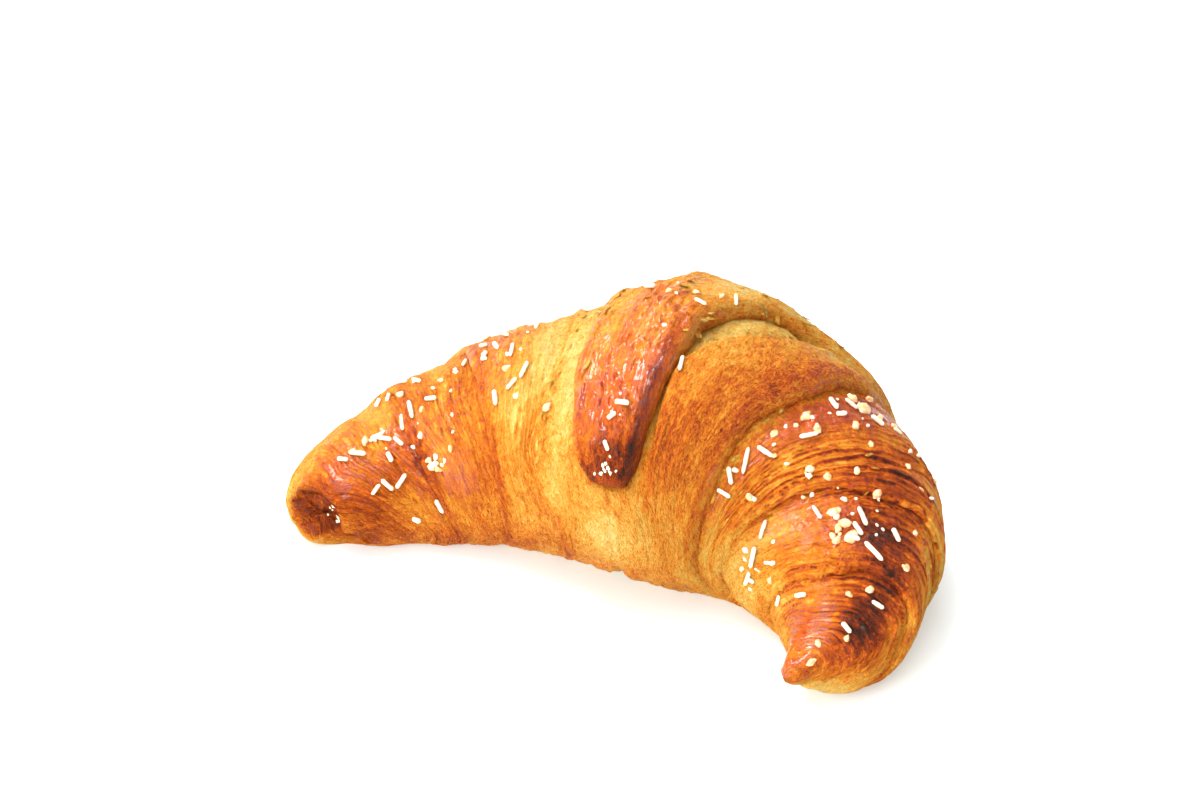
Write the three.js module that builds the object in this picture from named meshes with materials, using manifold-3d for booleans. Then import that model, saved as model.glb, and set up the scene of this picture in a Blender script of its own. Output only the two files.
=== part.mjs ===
// A sugared croissant, baked in one piece and lying on its flat underside.
//
// Frame: millimetres, +Z up. The origin is at the middle of the bounding box's bottom face. The back
// of the crescent faces +Y, both horns point to -Y, and the longest extent runs along X.
//
// The dough is one closed surface. A point on it is given by two surface coordinates:
//   along  millimetres along the bent centre line from the middle of the belly,
//          negative towards the left horn's end and positive towards the right horn's end
//   round  degrees round the roll: 0 on the outer side, 90 on top, 180 on the inner side
// Each layer of the rolled-up dough sheet ends in a lap, a low step that winds round the roll.
// The sugar lies on the crust as small separate sticks.
import * as THREE from 'three';
import { ParametricGeometry } from 'three/addons/geometries/ParametricGeometry.js';
import { mergeVertices } from 'three/addons/utils/BufferGeometryUtils.js';
import Module from 'manifold-3d';

// ---- driving dimensions ----

const BELLY = {
  halfWidth: 40.5, // of the section across the roll, at the middle
  halfHeight: 31.6,
  sink: 7, // how far the round section has slumped below the surface it lies on
};

const HORNS = {
  left: { side: -1, length: 91.5, turn: 84, bend: 1.75, endRadius: 11.5, taper: [1.17, 1.44] },
  right: { side: 1, length: 86, turn: 118, bend: 1.46, endRadius: 10.2, taper: [1.66, 1.45] },
};

// The end of a horn is a hollow swirl on the left and a short knob on the right, made of hills and
// hollows on the end face: [across, up, half-width, half-height, depth, sharpness of the sides].
// Places and sizes are fractions of the end radius, the depth is in millimetres.
const END_DETAIL = {
  left: [[0.06, 0.04, 0.58, 0.58, -6.6, 4], [-0.42, -0.5, 0.46, 0.32, -5.4, 3]],
  right: [[-0.02, 0.12, 0.56, 0.62, 2.8, 3], [0.02, 0.1, 0.3, 0.36, 2.2, 4], [-0.34, -0.3, 0.24, 0.16, -2, 2]],
};

// Laps, in order from the left horn's end to the right horn's end. `at` holds the distance from the
// middle, in millimetres, at each of LAP_STATIONS round the roll. `rise` is the lift at the lap's
// edge and `drop` the hollow beyond it, `inward` and `outward` how far each fades out.
// An open lap ends at the tongue's tip, on the inner side, instead of going right round.
const LAP_STATIONS = [-60, 0, 30, 60, 90, 110, 130, 145, 152, 157, 163, 180, 210, 245];
const LAPS = [
  {
    side: -1,
    at: [80, 72, 64, 60.5, 61.5, 63, 62.5, 62, 61.6, 61.2, 60.7, 58.5, 52, 66],
    rise: 0.8, drop: 1, inward: 5, outward: 4,
  },
  {
    side: -1,
    at: [60, 53, 48, 45, 44, 43.3, 42, 40.5, 39.6, 39.1, 38.5, 36.8, 34, 46],
    rise: 1.1, drop: 1.4, inward: 8, outward: 7,
  },
  {
    side: -1,
    at: [42, 34, 28, 23.5, 22.9, 23.7, 25.9, 27.4, 26.4, 25.4, 23.5, 15.5, 14, 26],
    rise: 0.8, drop: 1.1, inward: 7, outward: 6,
  },
  {
    side: -1,
    at: [31, 26, 20.5, 15.2, 15.2, 15.9, 13.2, 10.6, 7.4, 3.6, 1.2, 1.2, 2, 12],
    rise: 1.8, drop: 2, inward: 12, outward: 6, open: true,
  },
  {
    side: 1,
    at: [36, 32, 27, 14.5, 6.4, 4.6, 4, 3.6, 2.9, 1.4, 0.4, 0.6, 2, 12],
    rise: 1.6, drop: 2.4, inward: 14, outward: 8, open: true,
  },
  {
    side: 1,
    at: [48, 36, 32, 31.4, 31.2, 30.2, 31.4, 33.2, 33.8, 34.2, 34.7, 35.5, 36, 42],
    rise: 1.8, drop: 1.7, inward: 8, outward: 7,
  },
  {
    side: 1,
    at: [62, 57, 54.5, 53, 51, 50.2, 49.6, 49.2, 49, 48.8, 48.4, 47, 44, 54],
    rise: 1, drop: 1.6, inward: 8, outward: 7,
  },
  {
    side: 1,
    at: [78, 72, 67.5, 67, 68.5, 69.8, 69.6, 69.3, 69.1, 68.9, 68.7, 67.5, 66.5, 72],
    rise: 0.9, drop: 1.2, inward: 6, outward: 4,
  },
];
const LAP_SOFTNESS = 0.6; // half the width of a lap's step, along the roll
const LAP_ROLL = 0.5; // how far a lap's lip is pushed over, along the roll
const TONGUE_TIP = { round: 161, fade: 5 }; // where the open laps meet, and how fast they fade

// Broad swellings and hollows left by proving and baking. Each is a smooth hill:
// [along, round, half-length along, half-width round, height]
const SWELLS = [
  [0, 88, 13, 60, 2.2],
  [19, 110, 10, 42, 2.4],
  [14, 58, 8, 22, 1.2],
  [26, 50, 5, 22, -0.8],
  [52, 15, 14, 40, 1.8],
  [74, 5, 9, 50, 1.6],
  [56, 185, 10, 35, 2.4],
  [79, 180, 6, 40, -2],
  [-4, 208, 16, 34, -1.4],
  [-33, 100, 8, 60, 0.8],
  [-54, 208, 20, 38, 3.4],
  [-84, 225, 6, 40, -2],
];

const GRID = { capRows: 12, bandRows: 8, columns: 42 }; // rows beyond the last laps, rows in a band
const SPINE_STEPS = 200;

const SUGAR = { radius: 0.5, sides: 6, gap: 0.3, pressedEnds: 0.35 };

// Sugar sticks by where they lie: [along, round, angle to the roll's direction, length]
const STICKS = {
  leftEnd: [[-77, 103, 45, 4], [-80.5, 98, 57, 2.5], [-79, 142, 158, 3], [-75.3, 144, 67, 3.5]],
  leftHorn: [
    [-71, 124, 95, 2.5], [-70, 106, 50, 4.5], [-67, 115, 70, 3], [-71, 147, 147, 4],
    [-64, 102, 115, 4.5], [-61, 99, 110, 5], [-56, 97, 28, 3], [-65, 62, 125, 4],
    [-59, 60, 74, 4], [-57, 72, 62, 3], [-61, 177, 69, 3.5], [-69, 184, 33, 2],
  ],
  leftShoulder: [
    [-40, 80, 73, 4], [-38, 71, 66, 3.5], [-42.5, 86, 105, 3.5], [-36, 91, 102, 4],
    [-35.5, 112, 136, 3.5], [-32.5, 106, 109, 4.5], [-40, 117, 85, 4], [-32, 68, 91, 4],
  ],
  tongue: [
    [-7, 76, 34, 4], [8.5, 110, 78, 4.6], [-3, 134, 147, 2.5], [-1, 130, 178, 3.2],
    [-2.5, 144, 55, 2.5],
  ],
  secondWrap: [
    [10, 74, 59, 3], [36, 74, 5, 3.5], [36.5, 64, 157, 3.5], [38.5, 74, 105, 2.5],
    [40, 54, 136, 3.5], [41, 41, 118, 2.5], [40.7, 95, 102, 4.5], [36.5, 125, 58, 6],
    [38.5, 116, 162, 4], [35.8, 135, 39, 4], [37.5, 143, 171, 3.5], [46, 134, 163, 2.5],
  ],
  thirdWrap: [
    [56.5, 106, 162, 3.5], [58.5, 79, 155, 4.5], [61, 82, 146, 3.6], [60.5, 56, 150, 3.5],
    [63, 85, 106, 3.5], [65.2, 70, 122, 5.5], [54, 141, 55, 4.2], [58.5, 157, 58, 5],
    [61, 172, 86, 3.5],
  ],
  rightHorn: [[72.8, 50, 84, 3], [79, 61, 103, 3], [75, 125, 100, 3.5], [72, 160, 60, 2.6]],
};

const CRUST_LOOK = { color: 0xd98a3a, roughness: 0.42, metalness: 0 };
const SUGAR_LOOK = { color: 0xf6f1e6, roughness: 0.35, metalness: 0 };

// ---- small helpers ----

const { clamp, lerp, degToRad, euclideanModulo } = THREE.MathUtils;
const smooth = (x) => THREE.MathUtils.smoothstep(x, 0, 1);
const wrapDegrees = (angle) => euclideanModulo(angle + 180, 360) - 180;

/** Interpolates values given at angles round the roll, with a smooth curve that closes on itself. */
function roundTheRoll(angles, values, angle) {
  const count = angles.length;
  const at = euclideanModulo(angle - angles[0], 360) + angles[0];
  let i = count - 1;
  while (i > 0 && angles[i] > at) i -= 1;
  const angleOf = (k) => angles[euclideanModulo(k, count)] + 360 * Math.floor(k / count);
  const valueOf = (k) => values[euclideanModulo(k, count)];
  const rise = (k) => (valueOf(k + 1) - valueOf(k)) / (angleOf(k + 1) - angleOf(k));
  const slope = (k) => {
    const before = rise(k - 1);
    const after = rise(k);
    return before * after > 0 ? (2 * before * after) / (before + after) : 0;
  };
  const span = angleOf(i + 1) - angleOf(i);
  const t = (at - angleOf(i)) / span;
  const t2 = t * t;
  const t3 = t2 * t;
  return (2 * t3 - 3 * t2 + 1) * valueOf(i) + (t3 - 2 * t2 + t) * span * slope(i)
    + (3 * t2 - 2 * t3) * valueOf(i + 1) + (t3 - t2) * span * slope(i + 1);
}

// ---- the roll's centre line and section ----

/** Points and headings along one horn's centre line, by summing small steps from the middle. */
function traceSpine({ side, length, turn, bend }) {
  const headingAt = (distance) => degToRad(turn) * (distance / length) ** bend;
  const step = length / SPINE_STEPS;
  const points = [new THREE.Vector2(0, 0)];
  for (let i = 0; i < SPINE_STEPS; i += 1) {
    const heading = headingAt((i + 0.5) * step);
    const last = points[i];
    const x = last.x + side * Math.cos(heading) * step;
    points.push(new THREE.Vector2(x, last.y - Math.sin(heading) * step));
  }
  return (distance) => {
    const place = clamp(distance / step, 0, SPINE_STEPS);
    const i = Math.min(Math.floor(place), SPINE_STEPS - 1);
    const heading = headingAt(distance);
    return {
      centre: points[i].clone().lerp(points[i + 1], place - i),
      forward: new THREE.Vector2(side * Math.cos(heading), -Math.sin(heading)),
      outward: new THREE.Vector2(side * Math.sin(heading), Math.cos(heading)),
    };
  };
}

const SPINES = { left: traceSpine(HORNS.left), right: traceSpine(HORNS.right) };

/** Lift of the crust by the laps, and how far a lap's lip leans along the roll. */
function lapRelief(along, round) {
  const upper = smooth((Math.sin(degToRad(round)) + 0.8) / 0.45); // laps fade out on the underside
  let lift = 0;
  let lean = 0;
  for (const lap of LAPS) {
    const beyond = lap.side * along - roundTheRoll(LAP_STATIONS, lap.at, round);
    const inside = 0.5 * (1 - Math.tanh(beyond / LAP_SOFTNESS));
    const ownSide = smooth((lap.side * along + 14) / 14);
    const tipFade = lap.open
      ? smooth((TONGUE_TIP.round - (euclideanModulo(round + 90, 360) - 90)) / TONGUE_TIP.fade)
      : 1;
    const strength = upper * ownSide * tipFade;
    lift += strength * lap.rise * Math.exp(Math.min(beyond, 0) / lap.inward) * inside;
    lift -= strength * lap.drop * Math.exp(-Math.max(beyond, 0) / lap.outward) * (1 - inside);
    lean += strength * lap.side * LAP_ROLL * (
      Math.exp(-((beyond / LAP_SOFTNESS + 1) ** 2)) - Math.exp(-((beyond / LAP_SOFTNESS - 1) ** 2))
    );
  }
  return { lift, lean };
}

function swellRelief(along, round) {
  let lift = 0;
  for (const [atAlong, atRound, halfLength, halfWidth, height] of SWELLS) {
    const a = (along - atAlong) / halfLength;
    const r = wrapDegrees(round - atRound) / halfWidth;
    lift += height * Math.exp(-a * a - r * r);
  }
  return lift;
}

/** The swirl's hollow or the knob on a horn's end face, as a shift along the roll. */
function endShift(dents, x, z) {
  let shift = 0;
  for (const [across, up, halfWidth, halfHeight, depth, sharpness] of dents) {
    const away = Math.hypot((x - across) / halfWidth, (z - up) / halfHeight);
    shift += depth * Math.exp(-(away ** sharpness));
  }
  return shift;
}

/** The crust's surface: a point for surface coordinates, before the underside is flattened. */
function crustPoint(along, round, target) {
  const name = along < 0 ? 'left' : 'right';
  const { length, endRadius, taper } = HORNS[name];
  const { lift, lean } = lapRelief(along, round);
  const relief = lift + swellRelief(along, round);
  const leanRoom = smooth((length - Math.abs(along)) / 12);
  const distance = clamp(Math.abs(along + lean * leanRoom), 0, length);

  const fullness = (1 - (distance / length) ** taper[0]) ** taper[1];
  const width = lerp(endRadius, BELLY.halfWidth, fullness);
  const height = lerp(0.95 * endRadius, BELLY.halfHeight, fullness);
  const centreHeight = height - BELLY.sink * lerp(0.25, 1, fullness);

  const intoCap = clamp((distance - length + endRadius) / endRadius, 0, 1);
  const shrink = Math.sqrt(1 - intoCap * intoCap);
  const x = shrink * Math.cos(degToRad(round));
  const z = shrink * Math.sin(degToRad(round));
  const reach = endShift(END_DETAIL[name], x, z) * smooth(3 * intoCap);

  const { centre, forward, outward } = SPINES[name](distance);
  const across = (width + relief) * x;
  target.set(
    centre.x + outward.x * across + forward.x * reach,
    centre.y + outward.y * across + forward.y * reach,
    centreHeight + (height + relief) * z,
  );
}

// ---- the dough ----

/** Row positions that crowd together at the laps, so that each step has rows of its own. */
function rowPosition(row, round) {
  const { capRows, bandRows } = GRID;
  const edges = LAPS.map((lap) => lap.side * roundTheRoll(LAP_STATIONS, lap.at, round));
  const lastBandRow = capRows + bandRows * (LAPS.length - 1);
  if (row <= capRows) {
    return lerp(-HORNS.left.length, edges[0], (row / capRows) ** 1.7);
  }
  if (row >= lastBandRow) {
    const left = (lastBandRow + capRows - row) / capRows;
    return lerp(HORNS.right.length, edges[LAPS.length - 1], left ** 1.7);
  }
  const band = Math.floor((row - capRows) / bandRows);
  const t = (row - capRows) / bandRows - band;
  return lerp(edges[band], edges[band + 1], lerp(t, smooth(t), 0.75));
}

/** Turns an indexed geometry into a solid: shared vertices merged, collapsed triangles left out. */
function toSolid(wasm, geometry) {
  const bare = geometry.clone();
  bare.deleteAttribute('normal');
  bare.deleteAttribute('uv');
  const merged = mergeVertices(bare, 1e-3);
  const corners = [];
  for (let i = 0; i < merged.index.count; i += 3) {
    const [a, b, c] = [0, 1, 2].map((k) => merged.index.getX(i + k));
    if (a !== b && b !== c && c !== a) corners.push(a, b, c);
  }
  return new wasm.Manifold(new wasm.Mesh({
    numProp: 3,
    vertProperties: new Float32Array(merged.attributes.position.array),
    triVerts: new Uint32Array(corners),
  }));
}

function toGeometry(solid) {
  const mesh = solid.getMesh();
  const geometry = new THREE.BufferGeometry();
  geometry.setAttribute('position', new THREE.BufferAttribute(new Float32Array(mesh.vertProperties), 3));
  geometry.setIndex(new THREE.BufferAttribute(new Uint32Array(mesh.triVerts), 1));
  geometry.computeVertexNormals();
  return geometry;
}

/** The baked roll with its underside cut flat at z = 0. */
function buildDough(wasm) {
  const rows = 2 * GRID.capRows + GRID.bandRows * (LAPS.length - 1);
  const surface = new ParametricGeometry((u, v, target) => {
    const round = -90 - 360 * (v % 1);
    crustPoint(rowPosition(Math.round(u * rows), round), round, target);
  }, rows, GRID.columns);
  const roll = toSolid(wasm, surface);
  const reach = 400;
  const table = new THREE.BoxGeometry(reach, reach, reach);
  table.translate(0, 0, -reach / 2);
  return toGeometry(roll.subtract(toSolid(wasm, table)));
}

// ---- the sugar ----

/** A small stick of pressed sugar with slightly narrowed ends, lying along its own X axis. */
function buildStick(length) {
  const { radius, sides, pressedEnds } = SUGAR;
  const half = length / 2;
  const end = radius * (1 - pressedEnds);
  const shoulder = half - pressedEnds;
  const profile = [[0, -half], [end, -half], [radius, -shoulder], [radius, shoulder], [end, half], [0, half]];
  const geometry = new THREE.LatheGeometry(profile.map(([r, y]) => new THREE.Vector2(r, y)), sides);
  geometry.rotateZ(-Math.PI / 2);
  return geometry;
}

/** Lays a stick on the crust: rays dropped round it find what it rests on, and it keeps a gap. */
function layStick(stick, dough, shift, [along, round, angle, length]) {
  const point = (a, r) => {
    const target = new THREE.Vector3();
    crustPoint(a, r, target);
    return target.add(shift);
  };
  const centre = point(along, round);
  const forward = point(along + 1, round).sub(point(along - 1, round)).normalize();
  const sideways = point(along, round + 2).sub(point(along, round - 2)).normalize();
  const outward = new THREE.Vector3().crossVectors(sideways, forward).normalize();
  const turn = degToRad(angle);
  const lengthways = forward.multiplyScalar(Math.cos(turn)).addScaledVector(sideways, Math.sin(turn));
  lengthways.addScaledVector(outward, -lengthways.dot(outward)).normalize();
  const crossways = new THREE.Vector3().crossVectors(outward, lengthways);

  const above = 12;
  const ray = new THREE.Raycaster();
  const heightAt = (x, y) => {
    const start = centre.clone().addScaledVector(lengthways, x).addScaledVector(crossways, y);
    ray.set(start.addScaledVector(outward, above), outward.clone().negate());
    const hit = ray.intersectObject(dough)[0];
    return hit ? above - hit.distance : -above;
  };
  const half = length / 2;
  const tilt = Math.atan2(heightAt(half, 0) - heightAt(-half, 0), length);
  lengthways.applyAxisAngle(crossways, -tilt);
  outward.applyAxisAngle(crossways, -tilt);
  let highest = -above;
  for (const x of [-half, -half / 2, 0, half / 2, half]) {
    for (const y of [-SUGAR.radius, 0, SUGAR.radius]) highest = Math.max(highest, heightAt(x, y));
  }
  stick.quaternion.setFromRotationMatrix(new THREE.Matrix4().makeBasis(lengthways, crossways, outward));
  stick.position.copy(centre).addScaledVector(outward, highest + SUGAR.radius + SUGAR.gap);
}

// ---- the croissant ----

const wasm = await Module();
wasm.setup();

const croissant = new THREE.Group();

const doughGeometry = buildDough(wasm);
doughGeometry.computeBoundingBox();
const middle = doughGeometry.boundingBox.getCenter(new THREE.Vector3());
const toOrigin = new THREE.Vector3(-middle.x, -middle.y, 0);
doughGeometry.translate(toOrigin.x, toOrigin.y, toOrigin.z);

const dough = new THREE.Mesh(doughGeometry, new THREE.MeshStandardMaterial(CRUST_LOOK));
dough.name = 'croissant';
croissant.add(dough);

Object.values(STICKS).flat().forEach((place, index) => {
  const stick = new THREE.Mesh(buildStick(place[3]), new THREE.MeshStandardMaterial(SUGAR_LOOK));
  stick.name = `sugar_stick_${String(index + 1).padStart(2, '0')}`;
  layStick(stick, dough, toOrigin, place);
  croissant.add(stick);
});

export default croissant;
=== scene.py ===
"""A sugared croissant, lying on a pale floor.

The dough is made the way a baker makes it: every wrap of the rolled sheet is a closed shell of its own, with a
rolled lip where its edge is free and a tail tucked under the wrap above it. A place on the roll is given by two
surface coordinates. `along` is millimetres along the bent centre line from the middle of the belly, negative
towards the left horn. `around` is degrees round the roll: 0 on the outer side, 90 on top, 180 on the inner side.
"""

import logging
import math
from dataclasses import dataclass, field, replace
from enum import Enum

import bpy
import numpy as np
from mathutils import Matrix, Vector
from mathutils.bvhtree import BVHTree


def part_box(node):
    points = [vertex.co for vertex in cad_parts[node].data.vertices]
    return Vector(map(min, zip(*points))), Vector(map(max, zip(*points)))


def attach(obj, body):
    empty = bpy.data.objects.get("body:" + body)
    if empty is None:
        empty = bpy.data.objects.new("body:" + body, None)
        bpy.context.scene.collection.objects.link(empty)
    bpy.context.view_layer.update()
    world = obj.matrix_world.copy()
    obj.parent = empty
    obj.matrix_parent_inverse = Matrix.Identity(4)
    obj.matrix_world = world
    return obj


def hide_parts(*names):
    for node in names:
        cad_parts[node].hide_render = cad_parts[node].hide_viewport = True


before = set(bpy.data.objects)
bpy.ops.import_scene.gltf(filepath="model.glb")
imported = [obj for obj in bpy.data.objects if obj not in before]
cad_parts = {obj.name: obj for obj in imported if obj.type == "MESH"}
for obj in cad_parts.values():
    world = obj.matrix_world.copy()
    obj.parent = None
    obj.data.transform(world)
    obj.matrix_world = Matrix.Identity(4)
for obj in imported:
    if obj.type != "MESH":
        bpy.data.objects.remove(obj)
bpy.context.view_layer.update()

LOG = logging.getLogger("croissant")
MM = 0.001

Grid = np.ndarray
Piece = bpy.types.Object
Socket = bpy.types.NodeSocket
Triple = tuple[float, float, float]


# ---- numbers and noise ----


def smooth(x: Grid) -> Grid:
    """Cubic step: 0 below 0, 1 above 1, and 3x^2 - 2x^3 between."""
    x = np.clip(x, 0.0, 1.0)
    return x * x * (3.0 - 2.0 * x)


def wrap_degrees(angle: Grid) -> Grid:
    """The same angle between -180 and 180."""
    return (angle + 180.0) % 360.0 - 180.0


def from_below(angle: Grid) -> Grid:
    """The same angle between -90, the underside, and 270."""
    return (angle + 90.0) % 360.0 - 90.0


def unit(vector: Grid) -> Grid:
    """The vector with a length of 1."""
    return vector / np.linalg.norm(vector)


def around_curve(stations: tuple[float, ...], values: tuple[float, ...], around: Grid) -> Grid:
    """A smooth closed curve through values at angles round the roll.

    Between two stations it is the cubic Hermite curve whose slope at a station is the harmonic mean of the slopes
    on both sides, or zero at a peak.

    Args:
        stations: angles in degrees, rising.
        values: the value at each station.
        around: where the curve is wanted, in degrees.

    Returns:
        The curve's values, in the shape of `around`.
    """
    a = np.array([stations[-1] - 360.0, *stations, stations[0] + 360.0])
    v = np.array([values[-1], *values, values[0]])
    rise = np.diff(v) / np.diff(a)
    before, after = rise[:-1], rise[1:]
    product = before * after
    slope = np.zeros(len(v))
    slope[1:-1] = np.where(product > 0, 2 * product / np.where(product > 0, before + after, 1.0), 0.0)
    slope[0], slope[-1] = slope[-2], slope[1]
    x = (around - a[0]) % 360.0 + a[0]
    i = np.clip(np.searchsorted(a, x, side="right") - 1, 0, len(a) - 2)
    span = a[i + 1] - a[i]
    t = (x - a[i]) / span
    t2, t3 = t * t, t * t * t
    return (
        (2 * t3 - 3 * t2 + 1) * v[i]
        + (t3 - 2 * t2 + t) * span * slope[i]
        + (3 * t2 - 2 * t3) * v[i + 1]
        + (t3 - t2) * span * slope[i + 1]
    )


class Noise:
    """Smooth random values in space: a lattice of seeded numbers, blended with a cubic step."""

    def __init__(self, seed: int, size: int = 32) -> None:
        """Fills the lattice with numbers between -1 and 1."""
        self.size = size
        self.table = np.random.default_rng(seed).uniform(-1.0, 1.0, (size, size, size))

    def octave(self, points: Grid) -> Grid:
        """One octave at points (..., 3): the eight lattice numbers round each point, blended."""
        cell = np.floor(points).astype(int)
        t = smooth(points - cell)
        low, high = cell % self.size, (cell + 1) % self.size
        result = np.zeros(points.shape[:-1])
        for corner in range(8):
            pick = [(corner >> axis) & 1 for axis in range(3)]
            index = tuple(np.where(pick[axis], high[..., axis], low[..., axis]) for axis in range(3))
            weight = np.ones(points.shape[:-1])
            for axis in range(3):
                weight = weight * (t[..., axis] if pick[axis] else 1.0 - t[..., axis])
            result += weight * self.table[index]
        return result

    def at(self, points: Grid, octaves: int = 1, stretch: Triple | float = 1.0, shift: float = 0.0) -> Grid:
        """Octaves that double in fineness and halve in strength, added up.

        Args:
            points: places (..., 3).
            octaves: how many.
            stretch: what the places are multiplied by first.
            shift: what is added to them then.

        Returns:
            One value for each place, mostly between -1 and 1.
        """
        points = points * np.array(stretch) + shift
        result = np.zeros(points.shape[:-1])
        for octave in range(octaves):
            result += self.octave(points * 2.0**octave + 7.3 * octave) / 2.0**octave
        return result


@dataclass(frozen=True)
class Patch:
    """A soft-edged place on the crust: the hill `amount * exp(-a^2 - r^2)` in surface coordinates."""

    along: float
    around: float
    half_length: float
    half_width: float
    amount: float

    def at(self, along: Grid, around: Grid) -> Grid:
        """The hill's height at each place."""
        a = (along - self.along) / self.half_length
        r = wrap_degrees(around - self.around) / self.half_width
        return self.amount * np.exp(-a * a - r * r)


def patches(*rows: tuple[float, ...]) -> tuple[Patch, ...]:
    """A patch from each row: along, around, half_length, half_width and amount."""
    return tuple(Patch(*row) for row in rows)


def total(hills: tuple[Patch, ...], along: Grid, around: Grid) -> Grid:
    """The sum of several patches."""
    result = np.zeros(np.broadcast(along, around).shape)
    for patch in hills:
        result += patch.at(along, around)
    return result


# ---- the roll ----


@dataclass(frozen=True)
class Horn:
    """One half of the bent roll, from the middle of the belly to the horn's end, in millimetres and degrees."""

    side: int
    length: float
    turn: float
    bend: float
    end_radius: float
    taper: tuple[float, float]
    steps: int = 600

    def heading(self, distance: Grid) -> Grid:
        """Heading of the centre line in radians: turn * (distance / length) ^ bend."""
        return math.radians(self.turn) * (np.clip(distance, 0, None) / self.length) ** self.bend

    def spine(self, distance: Grid) -> tuple[Grid, Grid, Grid]:
        """Centre, forward and outward directions, by adding up small steps along the heading.

        Args:
            distance: millimetres from the middle of the belly.

        Returns:
            Three arrays (..., 2): the centre, the forward direction and the outward direction.
        """
        step = self.length / self.steps
        mid = self.heading((np.arange(self.steps) + 0.5) * step)
        x = np.concatenate([[0.0], np.cumsum(np.cos(mid) * step * self.side)])
        y = np.concatenate([[0.0], np.cumsum(-np.sin(mid) * step)])
        at = np.linspace(0.0, self.length, self.steps + 1)
        centre = np.stack([np.interp(distance, at, x), np.interp(distance, at, y)], -1)
        h = self.heading(distance)
        forward = np.stack([self.side * np.cos(h), -np.sin(h)], -1)
        outward = np.stack([self.side * np.sin(h), np.cos(h)], -1)
        return centre, forward, outward


def end_disc(cap: Grid, around: Grid) -> tuple[Grid, Grid]:
    """A place on a horn's end face in fractions of the end radius: sqrt(1 - cap^2) times the cosine and sine."""
    shrink = np.sqrt(1.0 - cap * cap)
    angle = np.radians(around)
    return shrink * np.cos(angle), shrink * np.sin(angle)


@dataclass(frozen=True)
class Dent:
    """A hill or hollow on a horn's end face, in fractions of the end radius; its depth is in millimetres."""

    across: float
    up: float
    half_across: float
    half_up: float
    depth: float
    sharpness: float

    def far(self, x: Grid, z: Grid) -> Grid:
        """Distance from the middle, 1 on the dent's own ellipse."""
        return np.hypot((x - self.across) / self.half_across, (z - self.up) / self.half_up)


@dataclass(frozen=True)
class EndShape:
    """The swirl's hollow or the knob on a horn's end face: dents, and a ridge that coils round the first one."""

    dents: tuple[Dent, ...]
    coil: float
    pitch: float
    rim: float

    def shift(self, x: Grid, z: Grid) -> Grid:
        """Shift along the roll: depth * exp(-far ^ sharpness) for each dent, plus a coil and a rim round the first."""
        result = np.zeros(x.shape)
        for dent in self.dents:
            result = result + dent.depth * np.exp(-(dent.far(x, z) ** dent.sharpness))
        first = self.dents[0]
        far = first.far(x, z)
        turned = np.arctan2(z - first.up, x - first.across)
        coil = self.coil * np.cos(turned - 2 * math.pi * far * self.pitch) * np.exp(-((far / 1.5) ** 4))
        rim = self.rim * np.exp(-(((far - 1.2) / 0.28) ** 2))
        return result + coil * smooth(far * 2.0) + rim

    def inside(self, cap: Grid, around: Grid) -> Grid:
        """1 in the first dent and most of the second, 0 elsewhere."""
        x, z = end_disc(cap, around)
        first = smooth((1.25 - self.dents[0].far(x, z)) / 0.35)
        second = 0.7 * smooth((1.3 - self.dents[1].far(x, z)) / 0.9)
        return np.maximum(first, second) * (cap > 0)


@dataclass(frozen=True)
class Lap:
    """The edge of a wrap: its distance from the middle at stations round the roll, and its step."""

    name: str
    side: int
    at: tuple[float, ...]
    rise: float
    drop: float
    inward: float
    outward: float
    open: bool = False

    STATIONS = (-60, 0, 30, 60, 90, 110, 130, 145, 152, 157, 163, 180, 210, 245)

    def distance(self, around: Grid) -> Grid:
        """Distance from the middle of the belly to the edge."""
        return around_curve(self.STATIONS, self.at, around)

    def beyond(self, along: Grid, around: Grid) -> Grid:
        """How far past the edge a place is, away from the middle."""
        return self.side * along - self.distance(around)

    def lip(self) -> float:
        """Thickness of the rolled lip, which reaches down onto the wrap below."""
        return self.rise + self.drop + 0.6


TIP_AROUND, TIP_FADE = 161.0, 5.0


def tip_strength(around: Grid) -> Grid:
    """How much of the tongue there is: 1 along it, falling to 0 past its tip on the inner side."""
    return smooth((TIP_AROUND - from_below(around)) / TIP_FADE)


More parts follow.
